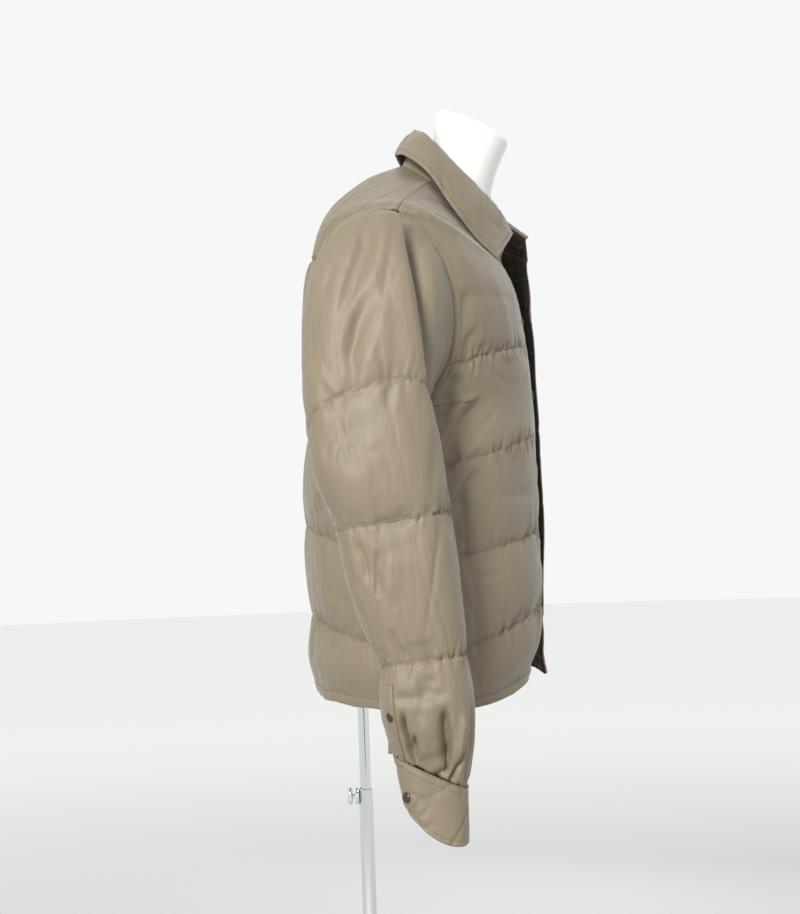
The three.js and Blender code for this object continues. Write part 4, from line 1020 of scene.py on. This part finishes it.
SLEEVE_FOLDS = [
    ([(-1, 22), (0, 48), (-5, 69), (-14, 90)], -5.5, 8, 7),
    ([(7, 14), (6, 46), (2, 65), (-3, 80), (-9, 94)], 4.5, 8, 12),
    ([(5, 66), (0, 86), (-5, 103), (-13, 122)], -6, 7, 8),
    ([(14, 76), (6, 97), (0, 114), (-5, 132)], 3, 8, 14),
    ([(-5, 112), (-8, 126), (-12, 140)], -3, 6, 7),
    ([(12, 4), (27, 50), (42, 90), (57, 128), (73, 168), (84, 204)], 5.5, 26, 5, (0.06, 0.3)),
    ([(26, 14), (48, 50), (67, 82), (82, 112), (93, 144), (99, 190)], -22, 10, 16, (0.12, 0.35)),
    ([(98, 30), (112, 70), (124, 104), (132, 132)], 2.6, 7, 8, (0.2, 0.3)),
    ([(20, 118), (15, 137), (8, 153)], -2.5, 5, 6),
    ([(-28, 44), (-30, 58), (-36, 74)], -2.2, 6, 8),
    ([(-45, 122), (-22, 137), (-10, 139)], -2.5, 8, 6),
    ([(-18, 146), (-35, 161), (-50, 173)], -3, 10, 8),
    ([(-2, 146), (-12, 166), (-20, 196)], -2.2, 12, 9),
    ([(12, 226), (2, 236), (-12, 242)], -2.6, 6, 8),
    ([(-35, 246), (-30, 268), (-29, 296)], -3.5, 7, 8),
    ([(-8, 256), (-15, 278), (-22, 310)], -3.4, 5, 10),
    ([(-2, 262), (-10, 284), (-14, 312)], 2.4, 5, 12),
    ([(-18, 336), (-18, 356), (-15, 376)], -3, 9, 8),
    ([(2, 352), (2, 366), (2, 380)], -2.5, 9, 9),
    ([(-42, 408), (-8, 410), (25, 408)], -3.5, 5, 6),
    ([(5, 388), (2, 398), (-2, 409)], -3.5, 6, 6),
    ([(-22, 418), (-25, 442), (-20, 461), (-17, 486)], -11, 7, 4),
    ([(-12, 444), (-15, 465), (-15, 490)], -9, 3, 5),
    ([(-29, 461), (-22, 476), (-15, 488)], -6, 3, 3),
    ([(-3, 424), (-6, 452), (-8, 482)], 4, 5, 13),
    ([(17, 416), (15, 446), (17, 480)], -13, 10, 4),
    ([(22, 434), (19, 461), (15, 486)], -8, 3.5, 3.5),
    ([(22, 475), (8, 482), (-2, 494)], -6, 3, 3.5),
    ([(48, 460), (32, 476), (19, 492)], -6.5, 4, 4),
    ([(42, 422), (34, 449), (29, 472)], 5, 5, 9),
    ([(22, 461), (2, 469), (-10, 482)], -1.8, 5, 5),
    ([(64, 410), (60, 446), (58, 488)], -2.6, 6, 8),
    ([(66, 208), (70, 232), (76, 262)], -2, 8, 10),
    ([(74, 152), (58, 186), (38, 222)], -2, 9, 9),
    ([(-150, 60), (-120, 100), (-96, 132)], -3, 10, 12),
    ([(-165, 20), (-140, 66), (-124, 110)], 2.4, 12, 9),
    ([(-100, 190), (-84, 214), (-60, 228)], -2.4, 8, 9),
    ([(-96, 292), (-74, 320), (-52, 342)], -2.2, 9, 8),
    ([(-120, 405), (-116, 440), (-112, 486)], -3.4, 5, 7),
    ([(-88, 414), (-84, 448), (-86, 488)], -3.6, 6, 5),
    ([(-148, 424), (-152, 456), (-146, 488)], -3.6, 5, 6),
    ([(110, 404), (112, 440), (106, 488)], -3.4, 6, 5),
    ([(146, 416), (142, 452), (148, 488)], -3.8, 5, 6),
    ([(120, 190), (140, 216), (168, 232)], -2.8, 9, 10),
    ([(96, 236), (122, 254), (150, 276)], -3.2, 9, 7),
    ([(104, 262), (130, 286), (160, 304)], 2.2, 8, 9),
    ([(150, 330), (130, 352), (112, 380)], -2.2, 8, 8),
]
SLEEVE_GATHERS = ((8, 3.2), (8, 3.2), (8, 3.2), (12, 3.9))   # reach and height at each quilting line
DEGREE = 1.33              # the way along the sleeve's round that one degree of turn takes
SLEEVE_SHIFT = {RIGHT: (0, 0), LEFT: (5, 4)}


def make_tube(node, outer, inner, cover, way, base, stitched, count):
    """A closed piece and its stitches, which run round it along the given rows."""
    obj = shell(node, outer, inner, cover, [CLOTH, CLOTH], True)
    piece = {"outer": outer, "normals": way, "obj": obj, "base": base, "closed": True}
    around = np.linspace(0, len(SLEEVE_TURNS), count)
    return {**piece, "stitches": sew(f"{node}_stitches", [on_skin(piece, i, around, True) for i in stitched])}


def sleeve_folds(turn, down, side):
    """The height of a sleeve's creases; the left one has them a little further round and down."""
    more_turn, more_down = SLEEVE_SHIFT[side]
    return sum(fold((turn - more_turn) * DEGREE, down - more_down, [(t * DEGREE, d) for t, d in path], *size)
               for path, *size in SLEEVE_FOLDS)


def make_sleeve(label, side):
    places = sleeve_places()
    ring = {key: value[:, None] for key, value in sleeve_ring(places).items()}
    base = ring_point(ring, SLEEVE_TURNS[None], side)
    to_armhole = armhole_point(SLEEVE_TURNS, side) - base[0]
    base = base + to_armhole[None] * (1 - smooth(places / 1.5))[:, None, None]
    normals = facing(normals_of(base, True), 60, 0, (side, 0, 0))
    seam_way, across = armhole_frame(SLEEVE_TURNS, side)
    falls = np.concatenate([[0], np.cumsum(np.linalg.norm(np.diff(base, axis=0), axis=2).mean(1))])
    runs = run_lengths(base)
    down = falls[:, None] + 0 * runs
    near = (1 - smooth(falls / SEAM_TURN))[:, None, None]
    way = unit(mix(normals, seam_way[None], near))
    quilt = ring["quilt"]
    share = quilt - np.floor(quilt + 1e-6)
    puff = np.where(share < 1e-3, 0, SLEEVE_PUFF * np.sin(np.pi * np.clip(share, 0, 1)) ** 0.75)
    relief = puff * (1 + 0.14 * noise(runs / 60, quilt * 1.4 + 0 * runs, 41 + side))
    lines = np.interp((1, 2, 3, 4), quilt[:, 0], falls)
    for k, (line, (reach, height)) in enumerate(zip(lines, SLEEVE_GATHERS)):
        pucker = (puckers(runs, down - line, 57 + 13 * k + side, 7.5, reach, height)
                  + puckers(runs, down - line, 457 + 13 * k + side, 24.0, reach=22, height=0.7 * height))
        relief += pucker * (np.abs(down - line) < PUCKER_REACH) - GROOVE * cusp(down - line, 2.6)
    turn = np.where(SLEEVE_TURNS > 180, SLEEVE_TURNS - 360, SLEEVE_TURNS)[None] + 0 * runs
    relief += (sleeve_folds(turn, down, side) * smooth(down / 14)
               + soft_noise(base, 71 + side) * smooth(down / 20))
    relief += puckers(runs, down, 83 + side, spacing=11.0, reach=16.0, height=0.8) * smooth(down / 6)
    relief -= 1.3 * bell(down, 1.5)
    shift = across[None] * (SEAM_GAP / 2) * near ** 4
    outer, inner = wall_sides(base, shift, down, way, relief, 0, WALL, deepest=24.0)
    stitched = np.interp(lines[:3], falls, np.arange(len(falls)))
    return make_tube(f"{label}_sleeve", outer, inner, cloth_map(runs, down), way, base, stitched, 240)


def make_cuff(label, side):
    top = sleeve_ring(len(SLEEVE) - 1)
    high = CUFF["high"]
    places = spans(high, EDGE_PITCH, end_rim=True)[:, None]
    ring = {key: value + 0 * places for key, value in top.items()}
    for key in ("innerX", "outerX", "front", "back"):
        ring[key] = mix(top[key], CUFF[key], places)
    ring["curve"] = np.full(places.shape, CUFF["curve"])
    base = ring_point(ring, SLEEVE_TURNS[None], side)
    backward = np.clip((base[..., 1] - CUFF["front"]) / (CUFF["back"] - CUFF["front"]), 0, 1)
    bottom = CUFF["bottom"] + CUFF["corner"] * backward ** 2.2
    base[..., 2] = mix(base[..., 2] - SEAM_GAP, bottom, places)
    centre = np.stack(np.broadcast_arrays(side * mix(ring["innerX"], ring["outerX"], 0.5),
                                          mix(ring["back"], ring["front"], 0.5), base[..., 2]), -1)
    way = unit(base - centre)
    runs = run_lengths(base)
    down = places * high + 0 * runs
    relief = 1.3 * noise(runs / 30, down / 34, 91 + side, 2) + 1.3 * valleys(
        noise((runs + down) / 30, (down - 0.4 * runs) / 90, 95 + side, 2), 0.08)
    relief -= 0.8 * np.exp(-down / 1.8)
    relief -= 0.35 * bell(down - 6.5, 1.1) + 0.4 * bell(high - down - 6, 1.2)
    relief += puckers(runs, down - 3, 97 + side, spacing=8.0, reach=9.0, height=0.9) * smooth(down / 3)
    # Behind the snap one end of the cuff lies over the other.
    turn = SLEEVE_TURNS[None] + 0 * runs
    relief += smooth((turn - 296) / 3) * (1 - smooth((turn - 330) / 60)) * smooth(down / 4)
    rim = rim_round(high - down, CUFF["wall"])
    outer, inner = wall_sides(base, 0, down, way, relief, rim, CUFF["wall"], deepest=3.0)
    stitched = np.interp((1.6, 8.0, high - 6), places[:, 0] * high, np.arange(len(places)))
    return make_tube(f"{label}_cuff", outer, inner, cloth_map(runs, down), way, base, stitched, 200)


# ---------- collar ----------
collar_curve = table_curve(COLLAR, {
    "foldX": ("fold", 0), "foldY": ("fold", 1), "foldZ": ("fold", 2),
    "edgeX": ("edge", 0), "edgeY": ("edge", 1), "edgeZ": ("edge", 2), "bulge": ("bulge",),
}, np.arange(len(COLLAR)))
COLLAR_END = len(COLLAR) - 1
EDGE_PITCH = 2.4           # down the narrow pieces, which are the collar's leaf and the cuffs


def collar_places(half):
    """Places along a collar piece, from the right end at -COLLAR_END through the centre back to the left."""
    return COLLAR_END * (2 * spans(2 * half, 3.2, start_rim=True, end_rim=True) - 1)


def leaf_points(place, down):
    """The leaf's middle surface, at places along the collar and shares of the way down the leaf."""
    side = np.where(place < 0, RIGHT, LEFT)[None]
    far = COLLAR_END - np.abs(place)
    at = collar_curve(far)
    fold = np.stack([at["foldX"], at["foldY"], at["foldZ"]], -1)[None]
    edge = np.stack([at["edgeX"], at["edgeY"], at["edgeZ"]], -1)[None]
    points = mix(fold, edge, down[:, None, None])
    away = unit(np.stack([points[..., 0] * 0.7, points[..., 1] - NECK_CENTRE, 45 + 0 * points[..., 0]], -1))
    points = points + away * (at["bulge"][None] * 2.4 * (down * (1 - down))[:, None])[..., None]
    beside_edge = 1 - smooth((points[..., 0] - FRONT_EDGE[LEFT]) / EDGE_REACH)
    flare = COLLAR_FLARE * beside_edge * (1 - smooth(far - 1.5))
    points[..., 1] += np.where(side == LEFT, flare, 0)
    points[..., 0] *= side
    return points


def make_leaf():
    places = collar_places(265)
    down = spans(62, EDGE_PITCH, end_rim=True)
    middle = leaf_points(places, down)
    rows, columns = middle.shape[:2]
    normals = facing(normals_of(middle), rows // 2, columns // 2, (0, 1, 1))
    runs, across = run_lengths(middle), drop_lengths(middle)
    to_tip = np.minimum(runs, runs[:, -1:] - runs)
    border = np.minimum(across[-1:] - across, to_tip)
    relief = 0.9 * noise(runs / 46, across / 30, 131, 2) + 1.0 * valleys(
        noise((runs + 0.8 * across) / 30, (across - 0.3 * runs) / 120, 133, 2), 0.06)
    relief -= 0.45 * bell(border - LEAF_STITCH, 1.2)
    relief += puckers(runs, border - LEAF_STITCH, 137, spacing=7.0, reach=5.0, height=0.35)
    rim = rim_round(border, COLLAR_LEAF_WALL)
    half = COLLAR_LEAF_WALL / 2
    outer = middle + normals * (half + relief - rim)[..., None]
    inner = middle - normals * (half - rim)[..., None]
    obj = shell("collar_leaf", outer, inner, cloth_map(runs, across), [CLOTH, CLOTH])
    piece = {"outer": outer, "normals": normals, "obj": obj, "base": middle}
    # One row of stitches along the edge, and one up each tip.
    edge_row = np.array([np.interp(across[-1, k] - LEAF_STITCH, across[:, k], np.arange(rows))
                         for k in range(columns)])
    inside = np.nonzero(to_tip[-1] > LEAF_STITCH)[0].astype(float)
    paths = [on_skin(piece, edge_row[inside.astype(int)], inside)]
    i = np.arange(2, int(edge_row[columns // 2]))
    right = np.array([np.interp(LEAF_STITCH, run, np.arange(columns)) for run in runs[i]])
    left = columns - 1 - np.array([np.interp(LEAF_STITCH, (run[-1] - run)[::-1], np.arange(columns))
                                   for run in runs[i]])
    paths += [on_skin(piece, i, right), on_skin(piece, i, left)]
    return {**piece, "stitches": sew("collar_leaf_stitches", paths)}


def make_stand():
    places = collar_places(200)
    neckline = body_section(STATIONS[NECKLINE])
    side = np.where(places < 0, RIGHT, LEFT)
    free = np.where(places < 0, FRONT_EDGE[RIGHT], FRONT_EDGE[LEFT])
    start = np.degrees(np.arcsin(free / neckline["half"]))
    turn = mix(start, 180.0, (COLLAR_END - np.abs(places)) / COLLAR_END)
    foot = section_point(neckline, turn, side)
    for hand in (RIGHT, LEFT):
        pick = (side == hand) & (turn <= 90)
        foot[pick] = draw_edge(foot[pick], neckline, hand)
    head = leaf_points(places, np.zeros(1))[0]
    to_neck = unit(np.stack([-head[:, 0], NECK_CENTRE - head[:, 1], 0 * head[:, 0]], -1))
    head = head + to_neck * STAND_HEAD["inside"] - np.array([0, 0, STAND_HEAD["below"]])
    up = np.linspace(0, 1, 14)[:, None]
    line = mix(foot + np.array([0, 0, STAND_HEAD["footGap"]]), head, up[..., None])
    normals = facing(normals_of(line), 4, len(places) // 2, (0, 1, 0))
    runs = run_lengths(line)
    rim = rim_round(np.minimum(runs, runs[:, -1:] - runs), COLLAR_STAND_WALL)
    outer = line - normals * rim[..., None]
    inner = line - normals * (COLLAR_STAND_WALL - rim)[..., None]
    obj = shell("collar_stand", outer, inner, cloth_map(runs, up * STAND_HEAD["height"]), [CLOTH, CHECK])
    return {"inner": inner, "normals": normals, "obj": obj, "base": line}


# ---------- form and stand ----------
CAP_SHARES = (0.97, 0.6, 0.05)   # the rings that close the form's ends
FORM_MIDDLE = (0, -0.08, 1.2)    # a place inside it, in metres


def ring_solid(name, rings, material, body):
    """A solid from rings of points, with a flat face at each end."""
    rows, columns = rings.shape[:2]
    points = rings.reshape(-1, 3)
    faces = grid_faces(rows, columns, True).tolist()
    faces += [list(range(columns))[::-1], list(range((rows - 1) * columns, rows * columns))]
    return new_object(name, points, faces, [material], uvs=points[:, [0, 2]], body=body)


def make_form():
    turns = np.arange(0, 360, 3.0)
    side = np.where(turns <= 180, LEFT, RIGHT)[None]
    half_turn = np.where(turns <= 180, turns, 360 - turns)[None]

    def ring(sections):
        return section_point({key: value[:, None] for key, value in sections.items()}, half_turn, side)
    below_shoulder = np.arange(station_of("dip"), STATIONS[SHOULDER], 6.0)
    stations = np.concatenate([below_shoulder, STATIONS[SHOULDER:NECKLINE]])
    skin = ring(body_section(stations))
    normals = facing(normals_of(skin, True), 10, 0, (0, -1, 0))
    s = stations[:, None]
    from_ridge = np.minimum(np.abs(turns - 90), np.abs(turns - 270))[None]
    on_ridge = smooth((s - STATIONS[SHOULDER]) / 20 + 0.4) * (s >= STATIONS[SHOULDER] - 1)
    ridge = on_ridge * (1 - smooth(from_ridge / FORM["ridgeReach"]))
    waist = smooth(1 - np.abs(s - station_of("line_1")) / FORM["waistReach"])
    armhole = smooth(1 - np.abs(s - station_of("chest")) / FORM["armholeReach"]) * (
        1 - smooth(from_ridge / FORM["armholeTurn"]))
    clear = FORM["clear"] + FORM["waist"] * waist + FORM["armholeInset"] * armhole
    skin = skin - normals * (WALL + mix(clear, FORM["ridgeClear"], ridge))[..., None]
    skin[0, :, 2] = FORM["bottom"]
    neck = table_curve(FORM_NECK, SECTION_COLUMNS, np.arange(len(FORM_NECK)))
    neck_places = np.array([0, 0.2, 0.4, 0.6, 0.8, 1, 1.3, 1.6, 1.85, 2, 2.5, 3])
    rings = np.concatenate([skin, ring(neck(neck_places))])
    low, high = ([mix(end.mean(0), end, k) for k in CAP_SHARES] for end in (rings[0], rings[-1]))
    rings = np.concatenate([low[::-1], rings, high])
    obj = ring_solid("form", rings, FORM_WHITE, "mast")
    middle = obj.data.polygons[len(obj.data.polygons) // 2]
    if middle.normal @ (middle.center - Vector(FORM_MIDDLE)) < 0:
        obj.data.flip_normals()
    stand_in("dress_form")


def lathe(name, profile, sides, material, body, node, place=None):
    """A turned solid from (radius, height) pairs that start and end on the axis."""
    turns = np.linspace(0, 2 * np.pi, sides, endpoint=False)
    vertices, rings = [], []
    for r, z in profile:
        count = 1 if r == 0 else sides
        rings.append(np.arange(sides) % count + len(vertices))
        vertices += [(r * math.cos(t), r * math.sin(t), z) for t in turns[:count]]
    faces = []
    for a, b in zip(rings[:-1], rings[1:]):
        for corners in zip(a, np.roll(a, -1), np.roll(b, -1), b):
            face = list(dict.fromkeys(int(k) for k in corners))
            # The first cap, which is hidden, looks inwards.
            faces.append(face[::-1] if a[0] == a[-1] else face)
    vertices = np.array(vertices, float)
    if place is not None:
        vertices = vertices @ np.array(place.to_3x3()).T + np.array(place.translation)
    obj = new_object(name, vertices, faces, [material], uvs=vertices[:, [0, 2]], body=body)
    obj.data.set_sharp_from_angle(angle=math.radians(32))
    stand_in(node)


def turned_metal(name, profile, body, node, sides=48, place=None):
    lathe(name, profile, sides, CHROME, body, node, place)


def make_wing(begin):
    """The wing screw, its stem starting at a distance behind the pole's axis."""
    wing = begin + SCREW["stem"]
    thick, wide, tall, stem = SCREW["wingThick"], SCREW["wingWide"] / 2, SCREW["wingHigh"] / 2, SCREW["radius"]
    end = wing + thick
    sections = [(begin, stem, stem), (wing, stem, stem), (wing + 0.3, wide * 0.8, tall * 0.8),
                (wing + 0.9, wide * 0.95, tall * 0.95), (wing + 1.8, wide, tall), (end - 1.8, wide, tall),
                (end - 0.8, wide * 0.93, tall * 0.93), (end, wide * 0.76, tall * 0.78)]
    turns = np.linspace(0, 2 * np.pi, 40, endpoint=False)
    rings = np.array([[(a * math.cos(t), y, SCREW["z"] + b * math.sin(t)) for t in turns]
                      for y, a, b in sections])
    obj = ring_solid("wing", rings, CHROME, "screw")
    if obj.data.polygons[-1].normal.y < 0:
        obj.data.flip_normals()
    obj.data.set_sharp_from_angle(angle=math.radians(50))
    stand_in("wing_screw")


def make_stand_metal():
    r, t, e = STAND["plateRadius"], STAND["plateThick"], STAND["plateEdge"]
    bevel = [(r - e + e * math.sin(a), t - e + e * math.cos(a)) for a in np.radians([90, 70, 50, 30, 10, 0])]
    turned_metal("plate", [(0, 0), (r - 1, 0), (r, 1), *bevel, (0, t)], "stand", "base_plate", 128)
    fit, bore, mouth = STAND["fit"], STAND["bore"], STAND["mouth"]
    low, hub, up = STAND["lowerRadius"], STAND["hubRadius"], STAND["upperRadius"]
    foot = t + fit
    top = foot + STAND["hubHigh"]
    tube = [(0, foot), (hub - 1, foot), (hub, foot + 1), (hub, foot + 4), (hub - 2, foot + 6),
            (low + 2.5, top - 2), (low + 1.4, top), (low, top + 2), (low, mouth - 0.7), (low - 0.7, mouth),
            (bore, mouth), (bore, top), (0, top)]
    turned_metal("lower_pole", tube, "stand", "lower_tube")
    start, end = STAND["upperBottom"], FORM["bottom"] - fit
    turned_metal("upper_pole", [(0, start), (up - 1, start), (up, start + 1), (up, end), (0, end)],
                 "mast", "upper_tube")
    deep, boss = SCREW["bossDeep"], SCREW["bossRadius"]
    place = Matrix.Translation((0, low + fit, SCREW["z"])) @ Matrix.Rotation(-math.pi / 2, 4, "X")
    turned_metal("boss", [(0, 0), (boss - 1, 0), (boss, 1), (boss, deep - 0.6), (boss - 0.6, deep), (0, deep)],
                 "stand", "clamp_boss", place=place)
    make_wing(low + 2 * fit + deep)


# ---------- snaps and strips ----------
LOW_SNAP = [(0, 0), (4.6, 0), (4.6, 0.5), (4.2, 0.8), (3.4, 0.8), (2.3, 0.5), (1.9, 1.0), (1.3, 1.25),
            (0, 1.3)]
HIGH_SNAP = [(0, 0), (5.2, 0), (5.2, 0.5), (4.9, 1.0), (4.3, 1.35), (3.8, 1.3), (3.5, 1.5), (2.4, 1.95),
             (1.2, 2.15), (0, 2.2)]


def snap(node, surface, inside=False, low=False):
    """A detailed snap, seated on the cloth where its plain one is."""
    lo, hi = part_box(node)
    centre = np.array((lo + hi) / 2) / MM
    points = surface["inner" if inside else "outer"].reshape(-1, 3)
    nearest = np.argsort(np.linalg.norm(points - centre, axis=1))[:24]
    normal = unit(surface["normals"].reshape(-1, 3)[nearest].mean(0)) * (-1 if inside else 1)
    seat = centre + normal * (((points[nearest] - centre) @ normal).max() + 0.1)
    turn = Vector(normal).to_track_quat("Z", "Y").to_matrix().to_4x4()
    lathe(f"{node}_metal", LOW_SNAP if low else HIGH_SNAP, 32, SNAP, "mast", node,
          Matrix.Translation(seat) @ turn)


def strip(name, node, side, normals, rows, columns, thick, material):
    """A strip laid on a skin, made from its own points."""
    part, way = side[rows, columns], normals[rows, columns]
    across, down = run_lengths(part), drop_lengths(part)
    border = np.minimum(np.minimum(across, across[:, -1:] - across), np.minimum(down, down[-1:] - down))
    draw = np.minimum(rim_round(border, thick), thick / 2 - 0.05)
    top = part + way * (SKIN_GAP + thick - draw)[..., None]
    low = part + way * (SKIN_GAP * 0.5 + draw * 0.5)[..., None]
    obj = wall_object(name, top, low, cloth_map(across, down), [material])
    stand_in(node)
    return {"obj": obj, "base": part}


def make_facing(front):
    """The dark checked strip inside the left front, beside its free edge."""
    columns = slice(int(np.searchsorted(front["columns"], 0.3)) + 1)
    return strip("left_facing_cloth", "left_facing", front["inner"], -front["normals"], slice(None), columns,
                 1.0, CHECK)


def make_sleeve_placket(label, sleeve):
    """The narrow strip beside the sleeve's slit, above the cuff."""
    first, last = (int(np.searchsorted(SLEEVE_TURNS, turn)) for turn in (306, 324))
    heights = sleeve["outer"][:, (first + last + 1) // 2, 2]
    rows = np.nonzero((heights < 922) & (heights > 843))[0]
    return strip(f"{label}_placket_cloth", f"{label}_sleeve_placket", sleeve["outer"], sleeve["normals"],
                 slice(rows[0], rows[-1] + 1), slice(first, last + 1), 1.2, CLOTH)


def build():
    fronts = make_fronts()
    back = make_back()
    sleeves = {side: make_sleeve(label, side) for label, side in SIDES.items()}
    cuffs = {side: make_cuff(label, side) for label, side in SIDES.items()}
    leaf = make_leaf()
    stand = make_stand()
    facing_strip = make_facing(fronts[LEFT])
    plackets = {side: make_sleeve_placket(label, sleeves[side]) for label, side in SIDES.items()}
    make_form()
    make_stand_metal()
    for label, side in SIDES.items():
        for k in range(1, 6):
            snap(f"{label}_front_snap_{k}", fronts[side], low=side == RIGHT)
        snap(f"{label}_sleeve_snap", sleeves[side])
        snap(f"{label}_cuff_snap", cuffs[side])
    snap("left_stand_snap", stand, inside=True, low=True)
    for piece in (*fronts.values(), back):
        declare(piece)
    for piece in (*sleeves.values(), *cuffs.values()):
        declare(piece)
    declare(leaf)
    declare(stand)
    declare(facing_strip)
    for side, placket in plackets.items():
        declare(placket)


build()


# ---------- stage, light and camera ----------
def stage_material():
    """Pale, with painted shade: a little greyer under the stand, where the key light is near."""
    pale = Shader("stage_pale_painted_shade", (0.88, 0.89, 0.875), 0.9)
    away = pale.add("VectorMath", Vector=pale.place())
    away.operation = "LENGTH"
    share = pale.add("MapRange", Value=away.outputs["Value"])
    share.interpolation_type = "SMOOTHSTEP"
    for end, distance in (("From Min", 1.0), ("From Max", 7.0)):
        share.inputs[end].default_value = distance
    # Painted shade: the floor's colour darkens towards the stand, where the key light falls strongest.
    pale.feed(Base_Color=pale.mixed(share.outputs["Result"], (0.5, 0.505, 0.497), (0.9, 0.91, 0.895)))
    return pale.material


def make_stage():
    bpy.ops.mesh.primitive_circle_add(vertices=96, radius=14, fill_type="NGON", location=(0, 0, 0))
    floor = bpy.context.object
    floor.name = "stage_floor"
    floor.data.materials.append(stage_material())


def area_light(name, place, target, size, power_w, color=(1, 1, 1)):
    data = bpy.data.lights.new(name, "AREA")
    data.shape = "RECTANGLE"
    data.size, data.size_y = size
    data.energy = power_w
    data.color = color
    obj = bpy.data.objects.new(name, data)
    obj.location = place
    obj.rotation_euler = (Vector(place) - Vector(target)).to_track_quat("Z", "Y").to_euler()
    bpy.context.scene.collection.objects.link(obj)


def make_light():
    world = bpy.data.worlds.new("studio")
    world.use_nodes = True
    background = world.node_tree.nodes["Background"]
    background.inputs["Color"].default_value = (0.99, 1.0, 1.0, 1)
    background.inputs["Strength"].default_value = 0.93
    bpy.context.scene.world = world
    area_light("key", (-3.0, 1.0, 2.5), (0, -0.05, 1.25), (0.7, 0.7), 142, (1, 0.985, 0.965))
    area_light("left", (2.7, -1.3, 2.1), (0, -0.05, 1.15), (3.0, 3.0), 24)
    bpy.context.scene.view_settings.view_transform = "Standard"


# The photograph's view: from the wearer's right, level with the elbow, the camera rolled two degrees.
CAMERA = {"place": (-2.4, -0.0506, 1.140), "roll": 2.02, "lens": 85.93, "sensor": 36}


def make_camera():
    data = bpy.data.cameras.new("camera")
    data.lens, data.sensor_width, data.sensor_fit = CAMERA["lens"], CAMERA["sensor"], "AUTO"
    data.clip_start, data.clip_end = 0.05, 100
    camera = bpy.data.objects.new("camera", data)
    c, s = math.cos(math.radians(CAMERA["roll"])), math.sin(math.radians(CAMERA["roll"]))
    x, y, z = CAMERA["place"]
    camera.matrix_world = Matrix(((0, 0, -1, x), (-c, -s, 0, y), (-s, c, 0, z), (0, 0, 0, 1)))
    bpy.context.scene.collection.objects.link(camera)
    bpy.context.scene.camera = camera


make_stage()
make_light()
make_camera()
